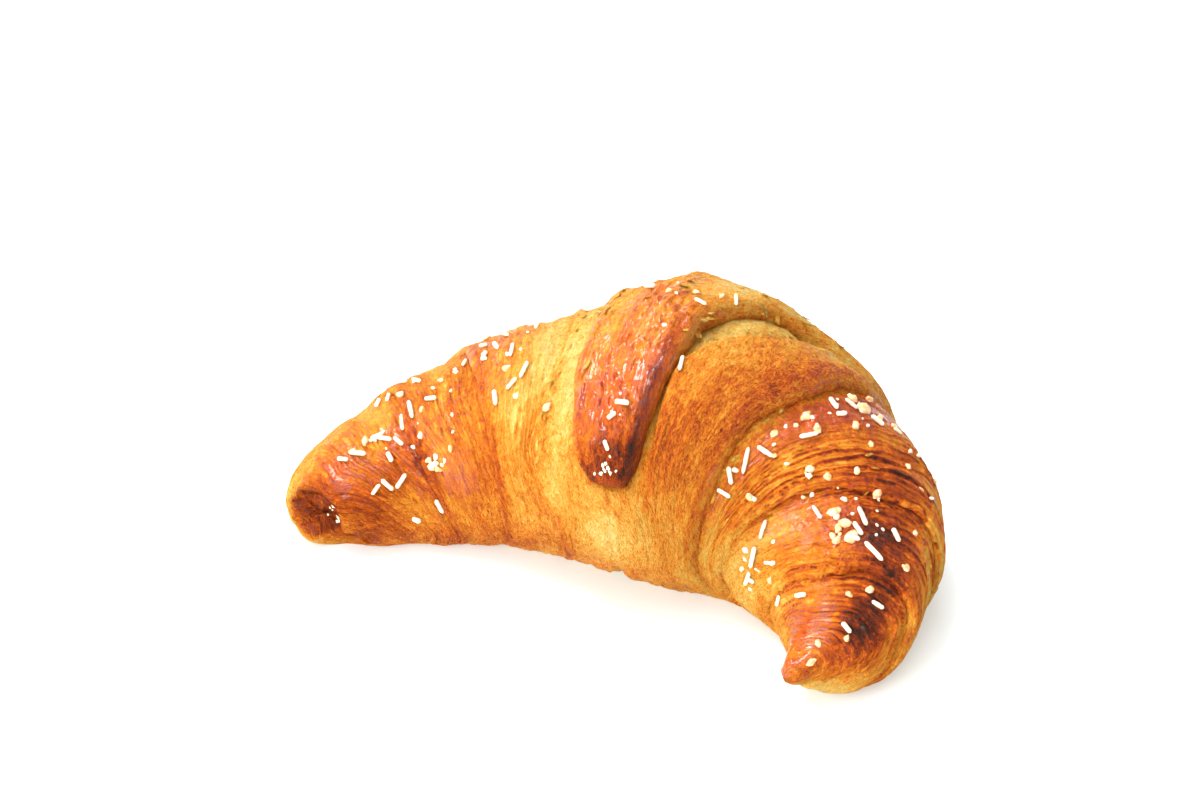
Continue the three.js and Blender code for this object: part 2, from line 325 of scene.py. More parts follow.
class Roll:
    """The crescent-shaped roll of dough that all the wraps follow."""

    HALF_WIDTH, HALF_HEIGHT, SINK = 40.5, 31.6, 7.0
    HORNS = {
        -1: Horn(-1, 91.5, 84.0, 1.75, 11.5, (1.17, 1.44)),
        1: Horn(1, 86.0, 118.0, 1.46, 10.2, (1.66, 1.45)),
    }
    ENDS = {
        -1: EndShape((Dent(0.06, 0.04, 0.58, 0.58, -6.6, 4.0), Dent(-0.42, -0.5, 0.46, 0.32, -5.4, 3.0)),
                     0.3, 0.8, 0.9),
        1: EndShape((Dent(-0.02, 0.12, 0.56, 0.62, 2.8, 3.0), Dent(0.02, 0.1, 0.3, 0.36, 2.2, 4.0),
                     Dent(0.1, -0.26, 0.3, 0.09, -1.8, 2.0), Dent(-0.34, -0.3, 0.24, 0.16, -2.0, 2.0),
                     Dent(-0.1, 0.5, 0.3, 0.08, -1.2, 2.0)), 0.45, 0.7, -0.9),
    }
    LAPS = (
        Lap("left_third", -1,
            (80, 72, 64, 60.5, 61.5, 63, 62.5, 62, 61.6, 61.2, 60.7, 58.5, 52, 66),
            0.8, 1.0, 5, 4),
        Lap("left_second", -1,
            (60, 53, 48, 45, 44, 43.3, 42, 40.5, 39.6, 39.1, 38.5, 36.8, 34, 46),
            1.1, 1.4, 8, 7),
        Lap("left_first", -1,
            (42, 34, 28, 23.5, 22.9, 23.7, 25.9, 27.4, 26.4, 25.4, 23.5, 15.5, 14, 26),
            0.8, 1.1, 7, 6),
        Lap("tongue_left", -1,
            (31, 26, 20.5, 15.2, 15.2, 15.9, 13.2, 10.6, 7.4, 3.6, 1.2, 1.2, 2, 12),
            1.8, 2.0, 12, 6, True),
        Lap("tongue_right", 1,
            (36, 32, 27, 14.5, 6.4, 4.6, 4, 3.6, 2.9, 1.4, 0.4, 0.6, 2, 12),
            1.6, 2.4, 14, 8, True),
        Lap("right_first", 1,
            (48, 36, 32, 31.4, 31.2, 30.2, 31.4, 33.2, 33.8, 34.2, 34.7, 35.5, 36, 42),
            1.8, 1.7, 8, 7),
        Lap("right_second", 1,
            (62, 57, 54.5, 53, 51, 50.2, 49.6, 49.2, 49, 48.8, 48.4, 47, 44, 54),
            1.0, 1.6, 8, 7),
        Lap("right_third", 1,
            (78, 72, 67.5, 67, 68.5, 69.8, 69.6, 69.3, 69.1, 68.9, 68.7, 67.5, 66.5, 72),
            0.9, 1.2, 6, 4),
    )
    SWELLS = patches(
        (0, 88, 13, 60, 2.2), (19, 110, 10, 42, 2.4), (14, 58, 8, 22, 1.2), (26, 50, 5, 22, -0.8),
        (52, 15, 14, 40, 1.8), (74, 5, 9, 50, 1.6), (56, 185, 10, 35, 2.4), (79, 180, 6, 40, -2),
        (-4, 208, 16, 34, -1.4), (-33, 100, 8, 60, 0.8), (-54, 208, 20, 38, 3.4), (-84, 225, 6, 40, -2),
    )

    def __init__(self) -> None:
        """Finds the shift that puts the roll's box where the CAD model's box is."""
        self.origin = np.zeros(3)
        along = np.linspace(-91.5, 86.0, 240)[:, None]
        around = np.linspace(-90.0, 270.0, 160)[None, :]
        lift = self.stepped_relief(along, around)
        points = self.place(along, around, lift)
        low, high = points.reshape(-1, 3).min(0), points.reshape(-1, 3).max(0)
        cad_low, cad_high = (np.array(corner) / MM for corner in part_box("croissant"))
        self.origin = ((cad_low + cad_high) - (low + high)) / 2.0
        self.origin[2] = 0.0

    def stepped_relief(self, along: Grid, around: Grid) -> Grid:
        """The relief of the whole roll with every lap as a plain step, as the CAD model has it."""
        lift = total(self.SWELLS, along, around)
        for lap in self.LAPS:
            beyond = lap.beyond(along, around)
            over = self.lap_over(lap, beyond, around)
            under = self.lap_under(lap, beyond, along, around)
            lift = lift + np.where(beyond < 0, over, under)
        return lift

    @staticmethod
    def upper(around: Grid) -> Grid:
        """1 over the top and sides, fading to 0 on the underside."""
        return smooth((np.sin(np.radians(around)) + 0.8) / 0.45)

    def strength(self, lap: Lap, around: Grid) -> Grid:
        """How strongly a lap shows: it fades on the underside, and past the tongue's tip."""
        return self.upper(around) * (tip_strength(around) if lap.open else 1.0)

    def lap_over(self, lap: Lap, beyond: Grid, around: Grid) -> Grid:
        """Lift of the wrap that a lap ends: rise * exp(beyond / inward), steady past the edge."""
        return self.strength(lap, around) * lap.rise * np.exp(np.minimum(beyond, 0.0) / lap.inward)

    def lap_under(self, lap: Lap, beyond: Grid, along: Grid, around: Grid) -> Grid:
        """Hollow in the wrap that a lap covers: drop * exp(-beyond / outward), on the lap's own side."""
        strength = self.strength(lap, around) * smooth((lap.side * along + 4.0) / 4.0)
        return -strength * lap.drop * np.exp(-np.maximum(beyond, 0.0) / lap.outward)

    def place(self, along: Grid, around: Grid, relief: Grid, floor: Grid | float = 0.0) -> Grid:
        """Points of a surface that stands `relief` outside the roll's own section.

        A section at `along` is an ellipse whose half-width and half-height shrink towards the horn's end as
        (1 - (distance / length) ^ taper0) ^ taper1, capped by a half-ellipsoid, and sunk onto the table.

        Args:
            along: millimetres along the centre line.
            around: degrees round the roll.
            relief: millimetres outside the plain section.
            floor: the lowest height that a point may have, in millimetres.

        Returns:
            Points (..., 3) in millimetres.
        """
        along, around, relief = np.broadcast_arrays(along, around, relief)
        points = np.zeros(along.shape + (3,))
        for side, horn in self.HORNS.items():
            mine = along < 0 if side < 0 else along >= 0
            distance = np.clip(np.abs(along[mine]), 0.0, horn.length)
            fullness = (1.0 - (distance / horn.length) ** horn.taper[0]) ** horn.taper[1]
            width = horn.end_radius + (self.HALF_WIDTH - horn.end_radius) * fullness
            end_height = 0.95 * horn.end_radius
            height = end_height + (self.HALF_HEIGHT - end_height) * fullness
            centre_height = height - self.SINK * (0.25 + 0.75 * fullness)
            cap = np.clip((distance - horn.length + horn.end_radius) / horn.end_radius, 0.0, 1.0)
            x, z = end_disc(cap, around[mine])
            reach = self.ENDS[side].shift(x, z) * smooth(3.0 * cap)
            centre, forward, outward = horn.spine(distance)
            across = (width + relief[mine]) * x
            reach = reach + relief[mine] * cap
            level = centre + outward * across[..., None] + forward * reach[..., None]
            up = centre_height + (height + relief[mine]) * z
            points[mine] = np.concatenate([level, up[..., None]], -1)
        points[..., 2] = np.maximum(points[..., 2], floor)
        return points + self.origin

    def cap(self, along: Grid) -> Grid:
        """How far round the rounded horn end a place is: 0 before it, 1 at its pole."""
        left, right = self.HORNS[-1], self.HORNS[1]
        past = np.where(along < 0, (-along - left.length) / left.end_radius, (along - right.length) / right.end_radius)
        return np.clip(past + 1.0, 0.0, 1.0)

    def end_shift(self, along: Grid, around: Grid) -> Grid:
        """The end shape's shift along the roll at each place, in millimetres."""
        cap = self.cap(along)
        x, z = end_disc(cap, around)
        return np.where(along < 0, self.ENDS[-1].shift(x, z), self.ENDS[1].shift(x, z)) * smooth(3.0 * cap)

    def hollow(self, along: Grid, around: Grid) -> Grid:
        """1 in the hollow of the left horn's end, 0 elsewhere."""
        return self.ENDS[-1].inside(self.cap(along), around) * (along <= 0)

    def dough_space(self, along: Grid, around: Grid) -> Grid:
        """Where a place lies in the unbent roll, in millimetres: patterns here run on round the roll."""
        along, around = np.broadcast_arrays(along, around)
        radius = 12.0 + 18.0 * smooth(1.0 - np.abs(along) / 90.0)
        x, z = end_disc(self.cap(along), around)
        return np.stack([along, radius * x, radius * z], -1)


# ---- meshes ----


def torus_faces(rows: int, columns: int) -> Grid:
    """Quads of a grid that closes on itself both ways, facing out when rows run along and columns run around."""
    row, column = np.arange(rows)[:, None], np.arange(columns)[None, :]
    next_row, next_column = (row + 1) % rows, (column + 1) % columns
    corners = (row * columns + column, row * columns + next_column, next_row * columns + next_column,
               next_row * columns + column)
    return np.stack([np.broadcast_to(corner, (rows, columns)) for corner in corners], -1).reshape(-1, 4)


def new_mesh(name: str, vertices: Grid, faces: Grid, smooth_shading: bool = True) -> Piece:
    """An object at the origin from vertices in metres and faces that all have the same number of corners.

    Args:
        name: the piece's name.
        vertices: (n, 3) in metres.
        faces: (m, 3) or (m, 4) vertex numbers.
        smooth_shading: whether the faces are shaded smooth.

    Returns:
        The object, linked to the scene.
    """
    mesh = bpy.data.meshes.new(name)
    count, corners = faces.shape
    mesh.vertices.add(len(vertices))
    mesh.vertices.foreach_set("co", np.ascontiguousarray(vertices, np.float32).ravel())
    mesh.loops.add(count * corners)
    mesh.loops.foreach_set("vertex_index", np.ascontiguousarray(faces, np.int32).ravel())
    mesh.polygons.add(count)
    mesh.polygons.foreach_set("loop_start", np.arange(0, count * corners, corners, dtype=np.int32))
    mesh.polygons.foreach_set("use_smooth", np.full(count, smooth_shading))
    mesh.update(calc_edges=True)
    mesh.validate()
    piece = bpy.data.objects.new(name, mesh)
    bpy.context.scene.collection.objects.link(piece)
    return piece


def add_attribute(piece: Piece, name: str, values: Grid) -> None:
    """Stores one number, or one vector, for each vertex."""
    is_vector = values.ndim == 2
    attribute = piece.data.attributes.new(name, "FLOAT_VECTOR" if is_vector else "FLOAT", "POINT")
    attribute.data.foreach_set("vector" if is_vector else "value", np.ascontiguousarray(values, np.float32).ravel())


def add_grid_uv(piece: Piece, rows: int, columns: int) -> None:
    """Unrolls a closed grid onto the unit square: rows across, columns up, with no seam face turned back."""
    corner_row = np.array([0, 0, 1, 1])
    corner_column = np.array([0, 1, 1, 0])
    row = np.arange(rows)[:, None, None] + corner_row
    column = np.arange(columns)[None, :, None] + corner_column
    row, column = np.broadcast_arrays(row, column)
    uv = np.stack([row / rows, column / columns], -1)
    layer = piece.data.uv_layers.new(name="OFBake")
    layer.data.foreach_set("uv", np.ascontiguousarray(uv, np.float32).ravel())


def points_of(piece: Piece) -> Grid:
    """A piece's vertices (n, 3) in metres."""
    points = np.zeros(len(piece.data.vertices) * 3)
    piece.data.vertices.foreach_get("co", points)
    return points.reshape(-1, 3)


def tree_of(piece: Piece) -> BVHTree:
    """A search tree of a piece whose faces all have the same number of corners."""
    mesh = piece.data
    corners = np.zeros(len(mesh.loops), int)
    mesh.loops.foreach_get("vertex_index", corners)
    polygons = corners.reshape(len(mesh.polygons), -1).tolist()
    return BVHTree.FromPolygons(points_of(piece).tolist(), polygons)


def closed_tube_faces(rows: int, columns: int) -> Grid:
    """Triangles of a tube of rings whose two ends close on the two last vertices."""
    row, ring = np.arange(rows - 1)[:, None], np.arange(columns)
    turned = (ring + 1) % columns
    a, b = row * columns + ring, row * columns + turned
    c, d = a + columns, b + columns
    end = (rows - 1) * columns
    first, last = np.full(columns, rows * columns), np.full(columns, rows * columns + 1)
    corners = ((a, b, d), (a, d, c), (first, turned, ring), (last, end + ring, end + turned))
    return np.concatenate([np.stack(corner, -1).reshape(-1, 3) for corner in corners])


def joined(name: str, parts: list[Grid], rows: int, columns: int) -> Piece:
    """Many closed tubes with the same number of rings as one piece."""
    faces = closed_tube_faces(rows, columns)
    faces = faces + np.arange(len(parts))[:, None, None] * len(parts[0])
    return new_mesh(name, np.concatenate(parts), faces.reshape(-1, 3))


# ---- how the crust varies ----


class CrustField:
    """How baked, with some painted shade, how glossy and how rough the crust is at every place, and the fine relief of
    its skin.
    """

    SHEET, CREST = 1.1, 0.78
    BASE_BROWN, BASE_GLAZE, BASE_SHEETS, BASE_BLISTERS = 0.27, 0.08, 0.07, 0.08
    # Some patches are painted shade: (71, 54) and (78, 48) darken the right horn's side that faces away from the
    # lamps, and (-45, 205), (-84, 210) and (10, 210) darken the underside beside the floor.
    BROWN = patches(
        (-84, 150, 8, 60, 0.06), (-86, 100, 5, 70, 0.14), (-72, 135, 6, 18, 0.12), (-64, 140, 5, 26, 0.16),
        (-58, 165, 10, 14, 0.14), (-50, 95, 6, 24, 0.08), (-88, 105, 3, 34, 0.12), (-30, 120, 12, 50, -0.05),
        (-42, 152, 6, 20, 0.14), (-37, 75, 7, 32, 0.05), (-33, 120, 5, 34, -0.16), (-27, 90, 4, 44, -0.14),
        (-21, 150, 4, 22, 0.1), (38, 80, 4, 50, 0.12), (46, 36, 6, 30, 0.04), (78, 48, 6, 20, 0.14),
        (52, 62, 6, 22, 0.12), (61, 68, 4, 24, 0.34), (48, 104, 4, 24, -0.08), (58, 100, 7, 30, 0.04),
        (52, 165, 9, 36, -0.16), (62, 20, 9, 24, -0.16), (71, 54, 9, 24, 0.34), (46, 58, 7, 18, 0.1),
        (37, 56, 4, 18, 0.16), (84, 110, 5, 70, 0.1), (72, 160, 8, 30, -0.06), (-45, 205, 40, 20, 0.26),
        (-84, 210, 9, 40, 0.3), (10, 210, 30, 14, 0.1), (80, 20, 9, 40, 0.14),
    )
    GLAZE = patches(
        (-80, 100, 9, 50, 0.5), (-60, 112, 10, 34, 0.55), (-52, 148, 9, 26, 0.5), (-38, 80, 8, 34, 0.4),
        (38, 95, 4, 46, 0.9), (38, 50, 5, 30, 0.3), (57, 108, 6, 36, 0.8), (62, 62, 6, 30, 0.25),
        (80, 122, 8, 45, 0.5), (84, 124, 4, 60, 0.6),
    )
    STRIAE = patches(
        (-78, 120, 13, 60, 1.0), (-52, 120, 9, 60, 0.8), (-32, 130, 9, 44, 0.8), (-12, 175, 8, 24, 0.4),
        (22, 120, 9, 50, 0.15), (47, 80, 5, 80, 1.2), (52, 60, 5, 50, 0.8), (40, 160, 8, 40, 0.5),
        (74, 90, 8, 110, 1.2), (62, 140, 6, 40, 0.5), (60, 20, 9, 30, 0.9), (-8, 80, 6, 40, 0.4),
    )
    BLISTERS = patches(
        (-62, 115, 12, 34, 0.8), (60, 95, 7, 40, 1.2), (-38, 80, 9, 30, 0.6), (38, 90, 4, 44, 0.8),
    )

    def __init__(self) -> None:
        """Sets up the seeded noises."""
        self.folds = Noise(11)
        self.layers = Noise(23)
        self.bubbles = Noise(37)

    def skin(self, space: Grid, along: Grid, around: Grid, more_blisters: Grid) -> tuple[Grid, Grid]:
        """Fine relief in millimetres, and how deep in a crack between two sheets a place is, from 0 to 1, which the
        wraps use for painted shade in the cracks.

        Dents and bubbles are noise in dough space. Wrinkles are ridged noise, 1 - 2 |noise|, stretched round the
        roll. Sheets overlap like tiles: t is the fractional part of the distance along the roll in SHEETs, bent by
        noise, and the height rises with t to CREST and falls back to the next sheet.

        Args:
            space: places in dough space.
            along: millimetres along the roll.
            around: degrees round the roll.
            more_blisters: blisters that only this wrap has.

        Returns:
            The relief, and the crack depth that the wraps turn into painted shade in the cracks.
        """
        striae = self.layered(along, around)
        bubbles = np.clip(self.BASE_BLISTERS + total(self.BLISTERS, along, around) + more_blisters, 0.0, 1.2)
        dents = self.folds.at(space, 2, (0.09, 0.06, 0.06))
        wrinkles = 1.0 - 2.0 * np.abs(self.folds.at(space, 3, (0.3, 0.06, 0.06), 9.0))
        wrinkles = wrinkles * (1.0 - 0.7 * np.clip(bubbles, 0.0, 1.0))
        bend = 1.5 * self.layers.at(space, 2, (0.14, 0.028, 0.028))
        bend = bend + 0.3 * self.layers.at(space, 2, (0.8, 0.1, 0.1), 5.0)
        t = (np.where(along < 0, -1.0, 1.0) * space[..., 0] / self.SHEET + bend) % 1.0
        sheets = t / self.CREST * (1.0 - smooth((t - self.CREST) / (1.0 - self.CREST))) - 0.4
        opened = smooth(0.5 + 1.6 * self.layers.at(space, 1, (0.5, 0.07, 0.07), 2.0))
        crack = smooth((t - self.CREST) / 0.07) * (1.0 - smooth((t - self.CREST - 0.12) / 0.07))
        bubble = np.maximum(self.bubbles.at(space, 3, (0.42, 0.36, 0.36)) - 0.1, 0.0)
        grit = self.bubbles.at(space, 2, (1.1, 0.7, 0.7), 3.0)
        lumps = self.bubbles.at(space, 2, 0.7, 6.0)
        relief = 0.55 * dents + 0.36 * wrinkles + 0.55 * striae * (0.6 + 0.6 * opened) * sheets
        relief = relief + bubbles * (1.2 * bubble + 0.3 * lumps) + 0.09 * grit
        return relief, striae * (0.35 + 0.65 * opened) * crack

    def layered(self, along: Grid, around: Grid) -> Grid:
        """How clearly the sheets' edges show, from 0 to 1.2."""
        return np.clip(self.BASE_SHEETS + total(self.STRIAE, along, around), 0.0, 1.2)

    def brown(self, space: Grid, along: Grid, around: Grid) -> Grid:
        """How brown the crust is, from 0, pale, to 1, burnt: how baked it is, plus painted warm shade on the inner
        lower side and in some patches.
        """
        top = smooth((np.sin(np.radians(around)) + 0.35) / 1.1)
        cloud = self.folds.at(space, 3, (0.16, 0.08, 0.08))
        # Painted warm shade: the inner lower side, which is in shade, is made browner and more orange.
        side = np.exp(-((wrap_degrees(around - 185.0)) / 45.0) ** 2)
        return self.BASE_BROWN + 0.12 * top + 0.06 * side + 0.08 * cloud + total(self.BROWN, along, around)

    def glaze(self, space: Grid, along: Grid, around: Grid) -> Grid:
        """How glossy the crust is, from 0, matt and flaky, to 1, brushed with syrup."""
        cloud = self.bubbles.at(space, 3, 0.12)
        return np.clip(self.BASE_GLAZE + total(self.GLAZE, along, around) + 0.18 * cloud, 0.0, 1.0)


# ---- the wraps ----


class Edge(Enum):
    """How one side of a wrap ends."""

    FREE = "a rolled lip that lies over the next wrap"
    TUCKED = "a tail that runs on under the wrap above it"
    HORN_END = "the end of a horn"


@dataclass(frozen=True)
class Pocket:
    """The torn hollow beside the tongue: its far rim's distance from the middle at stations round the roll."""

    stations: tuple[float, ...] = (-90, 30, 52, 64, 75, 84, 91, 99, 107, 115, 124, 134, 145, 180)
    rim: tuple[float, ...] = (25, 25, 24.7, 23.7, 21.6, 18, 14.8, 11.4, 8.1, 7, 7.4, 8.4, 9.3, 10)
    rim_rise: float = 1.1
    depth: float = 1.1
    softness: float = 0.6

    def past_rim(self, along: Grid, around: Grid) -> Grid:
        """How far beyond the rim a place is."""
        return along - around_curve(self.stations, self.rim, around)

    def reach(self, around: Grid, stop: float) -> Grid:
        """1 where the hollow runs, fading out before `stop` degrees."""
        wrapped = from_below(around)
        return smooth((stop - wrapped) / 20.0) * smooth((wrapped - 35.0) / 12.0)

    def inside(self, along: Grid, around: Grid) -> Grid:
        """1 in the hollow, 0 on the shoulder beyond its rim and on the roll's left side."""
        reach = self.reach(around, 155.0) * smooth(along / 3.0)
        return 0.5 * (1.0 - np.tanh(self.past_rim(along, around) / self.softness)) * reach

    def relief(self, along: Grid, around: Grid) -> Grid:
        """Depth of the hollow, and the rim's lift that fades over the shoulder."""
        past_rim = self.past_rim(along, around)
        rim = 0.5 * (1.0 + np.tanh(past_rim / self.softness)) * np.exp(-np.maximum(past_rim, 0.0) / 9.0)
        return self.rim_rise * rim * self.reach(around, 150.0) - self.depth * self.inside(along, around)


@dataclass
class Wrap:
    """One wrap of the rolled-up sheet: a closed shell with an outer skin, two sides and an inner skin.

    Sizes are in millimetres. Rows run along the roll and columns run around it.
    """

    name: str
    start: Edge
    stop: Edge
    start_lap: str | None
    stop_lap: str | None
    over: tuple[str, ...]
    under: tuple[str, ...]
    seed: int
    thickness: float = 2.0
    tuck: float = 7.0
    skin_rows: int = 150
    columns: int = 380
    twist: float = 0.0
    pocket: Pocket | None = None
    brown: tuple[Patch, ...] = ()
    glaze: tuple[Patch, ...] = ()
    blisters: tuple[Patch, ...] = ()

    LIP_ROWS, INNER_ROWS, END_STEP = 11, 7, 4
    END_SPACING, CROWDING = 1.35, 0.3
    END_SINK, BULGE = 8.0, 0.8
    SEED_SHIFT = 3.0
    COVERED_FLOOR, INNER_FLOOR = 0.25, 0.3

    def lap(self, roll: Roll, name: str) -> Lap:
        """The lap with this name."""
        return next(item for item in roll.LAPS if item.name == name)

    def border(self, roll: Roll, around: Grid, edge: Edge, lap_name: str | None, side: int) -> Grid:
        """Signed `along` of one side of the wrap at each angle. A free side is a little ragged."""
        if edge is Edge.HORN_END:
            return np.full(around.shape, side * roll.HORNS[side].length)
        lap = self.lap(roll, lap_name)
        line = lap.side * lap.distance(around)
        if edge is Edge.TUCKED:
            return line - lap.side * self.tuck
        angle = np.radians(around)
        ring = np.stack([np.zeros(around.shape), np.cos(angle) * 6.0, np.sin(angle) * 6.0], -1)
        ragged = Noise(self.seed).at(ring, 4)
        return line + 0.4 * ragged * smooth((lap.distance(around) - 1.0) / 3.0)

    def lip(self, roll: Roll, edge: Edge, lap_name: str | None) -> float:
        """Thickness of one side of the wrap."""
        more = 1.6 if self.meets_in_tip() else 0.0
        return self.lap(roll, lap_name).lip() + more if edge is Edge.FREE else self.thickness

    def relief(self, roll: Roll, along: Grid, around: Grid) -> Grid:
        """Height of the wrap's skin over the plain section: its laps' lifts and hollows and the swells."""
        before_pole = smooth((1.0 - roll.cap(along)) / 0.12)
        lift = total(roll.SWELLS, along, around) * before_pole
        for lap in roll.LAPS:
            beyond = lap.beyond(along, around)
            if lap.name in self.over:
                lift = lift + roll.lap_over(lap, beyond, around) * before_pole
            elif lap.name in self.under:
                lift = lift + roll.lap_under(lap, beyond, along, around)
                hidden = np.maximum(-beyond, 0.0) * smooth((lap.side * along + 2.0) / 2.0)
                lift = lift - np.minimum(0.3 * hidden, 2.4)
        if self.pocket is not None:
            lift = lift + self.pocket.relief(along, around)
        return lift

    def rows(self, first_half: float, last_half: float) -> tuple[Grid, ...]:
        """The shell's rows: along the skin, down round the last side, back below, and up round the first side.

        A side turns down through a half ring as thick as its lip, and bulges if it is free. Rows are closer at a
        horn's end, as a power of their place.

        Args:
            first_half: half the first side's thickness, in millimetres.
            last_half: half the last side's thickness.

        Returns:
            For each row its place from 0 at the start to 1 at the stop, its bulge along the roll, its depth under
            the skin, and 1 where it is below, 0 on the skin and the last side.
        """
        t = np.linspace(0.0, 1.0, self.skin_rows)
        if self.start is Edge.HORN_END:
            t = t**self.END_SPACING
        if self.stop is Edge.HORN_END:
            t = 1.0 - (1.0 - t) ** self.END_SPACING
        back = np.linspace(1.0, 0.0, self.INNER_ROWS)
        if Edge.HORN_END in (self.start, self.stop):
            back = t[:: -self.END_STEP]
        turn = np.linspace(0.0, math.pi, self.LIP_ROWS + 2)[1:-1]
        skin, side, under = np.zeros(self.skin_rows), np.zeros(self.LIP_ROWS), np.zeros(len(back))
        last_bulge = self.BULGE * last_half * np.sin(turn) * (self.stop is Edge.FREE)
        first_bulge = -self.BULGE * first_half * np.sin(turn) * (self.start is Edge.FREE)
        last_depth, first_depth = last_half * (1.0 - np.cos(turn)), first_half * (1.0 + np.cos(turn))
        columns = (
            (t, side + 1.0, back, side),
            (skin, last_bulge, under, first_bulge),
            (skin, last_depth, 2.0 * (first_half + (last_half - first_half) * back), first_depth),
            (skin, side, under + 1.0, side + 1.0),
        )
        return tuple(np.concatenate(column)[:, None] for column in columns)

    def build(self, roll: Roll, crust: CrustField) -> Piece:
        """Makes the shell: the outer skin at the relief's height, and the sides and inner skin below it.

        The columns are closer on top: around = -90 + 360 (v + CROWDING sin(2 pi v) / (2 pi)).

        Args:
            roll: the roll that the wrap follows.
            crust: how the crust varies.

        Returns:
            The wrap's object.
        """
        v = np.arange(self.columns) / self.columns
        around = -90.0 + 360.0 * (v + self.CROWDING * np.sin(2 * math.pi * v) / (2 * math.pi))
        first = self.border(roll, around, self.start, self.start_lap, -1)
        last = self.border(roll, around, self.stop, self.stop_lap, 1)
        across, bulge, depth, below = self.rows(
            self.lip(roll, self.start, self.start_lap) / 2.0, self.lip(roll, self.stop, self.stop_lap) / 2.0)
        on_skin = first + (last - first) * across
        along = on_skin + bulge
        around = np.broadcast_to(around, along.shape)
        depth = depth + self.END_SINK * roll.cap(along) * below

        relief = self.relief(roll, on_skin, around)
        space = roll.dough_space(along, around)
        space[..., 0] = along - self.slant(first, last, around) + roll.end_shift(along, around) + depth
        space = space + self.seed * self.SEED_SHIFT
        hollow = roll.hollow(along, around)
        fine, crack = crust.skin(space, along, around, total(self.blisters, along, around) + hollow)
        relief = relief + fine * smooth((np.sin(np.radians(around)) + 0.95) / 0.3) - depth
        if self.meets_in_tip():
            relief = relief - 3.0 * (1.0 - tip_strength(around)) * smooth((8.0 - np.abs(along)) / 4.0)

        # The crease beside each covering wrap's edge gets painted shade further down: it is coloured browner.
        covered, groove_shade = self.below_laps(roll, along, around)
        floor = self.COVERED_FLOOR * covered + np.where(depth > 0, self.INNER_FLOOR, 0.0)
        points = roll.place(along, around, relief, floor) * MM
        piece = new_mesh(self.name, points.reshape(-1, 3), torus_faces(*along.shape))
        add_grid_uv(piece, *along.shape)

        brown = crust.brown(space, along, around) + total(self.brown, along, around)
        brown = brown + 0.1 * np.exp(-((self.to_free_edge(roll, along, around) / 1.4) ** 2))
        brown = brown + 0.08 * np.clip(fine, -0.6, 0.9) + 0.05 * smooth((depth - 0.8) / 1.2)
        # Painted shade: the cracks between sheets, and the crease beside each covering wrap's edge, are coloured
        # browner.
        brown = brown + 0.16 * (1.0 + smooth((along - 30.0) / 12.0)) * crack + 0.16 * groove_shade - 0.1 * covered
        # Painted shade: the hollow in the left horn's end is coloured dark brown.
        brown = brown + (0.74 + 0.12 * fine - brown) * hollow
        if self.pocket is not None:
            brown = brown - 0.14 * self.pocket.inside(along, around)
        glaze = crust.glaze(space, along, around) + total(self.glaze, along, around) + 0.15 * hollow
        glaze = np.clip(glaze, 0.0, 1.0)
        torn = np.clip(1.1 - crust.layered(along, around) - glaze, 0.0, 1.0)
        for name, values in (("torn", torn), ("brown", brown), ("glaze", glaze)):
            add_attribute(piece, name, values.reshape(-1))
        add_attribute(piece, "dough", space.reshape(-1, 3))
        return piece

    def slant(self, first: Grid, last: Grid, around: Grid) -> Grid:
        """How far the layers lean along the roll at each angle, so that they follow the wrap's sides."""
        middle = last if self.start is Edge.HORN_END else first if self.stop is Edge.HORN_END else (first + last) / 2
        return middle - middle.mean() + self.twist * smooth((from_below(around) - 95.0) / 110.0)

    def meets_in_tip(self) -> bool:
        """Whether this is the tongue, whose two free edges meet in a tip."""
        return self.start_lap == "tongue_left" and self.stop_lap == "tongue_right"

    def below_laps(self, roll: Roll, along: Grid, around: Grid) -> tuple[Grid, Grid]:
        """What the laps that lie on this wrap do to it.

        Returns:
            1 where the wrap above covers this one, and 1 in the crease beside that wrap's edge,
            which is coloured browner as painted shade.
        """
        covered, groove_shade = np.zeros(along.shape), np.zeros(along.shape)
        for lap in roll.LAPS:
            if lap.name in self.under:
                beyond = lap.beyond(along, around)
                same_side = smooth((lap.side * along + 2.0) / 2.0)
                covered = np.maximum(covered, smooth(-beyond / 2.0) * same_side)
                near = np.exp(-((beyond / 1.8) ** 2)) * same_side
                groove_shade = np.maximum(groove_shade, near * roll.strength(lap, around))
        return covered, groove_shade

    def to_free_edge(self, roll: Roll, along: Grid, around: Grid) -> Grid:
        """Distance to the nearest free edge of this wrap, in millimetres."""
        nearest = np.full(along.shape, 99.0)
        for edge, name in ((self.start, self.start_lap), (self.stop, self.stop_lap)):
            if edge is Edge.FREE:
                nearest = np.minimum(nearest, np.abs(self.lap(roll, name).beyond(along, around)))
        return nearest


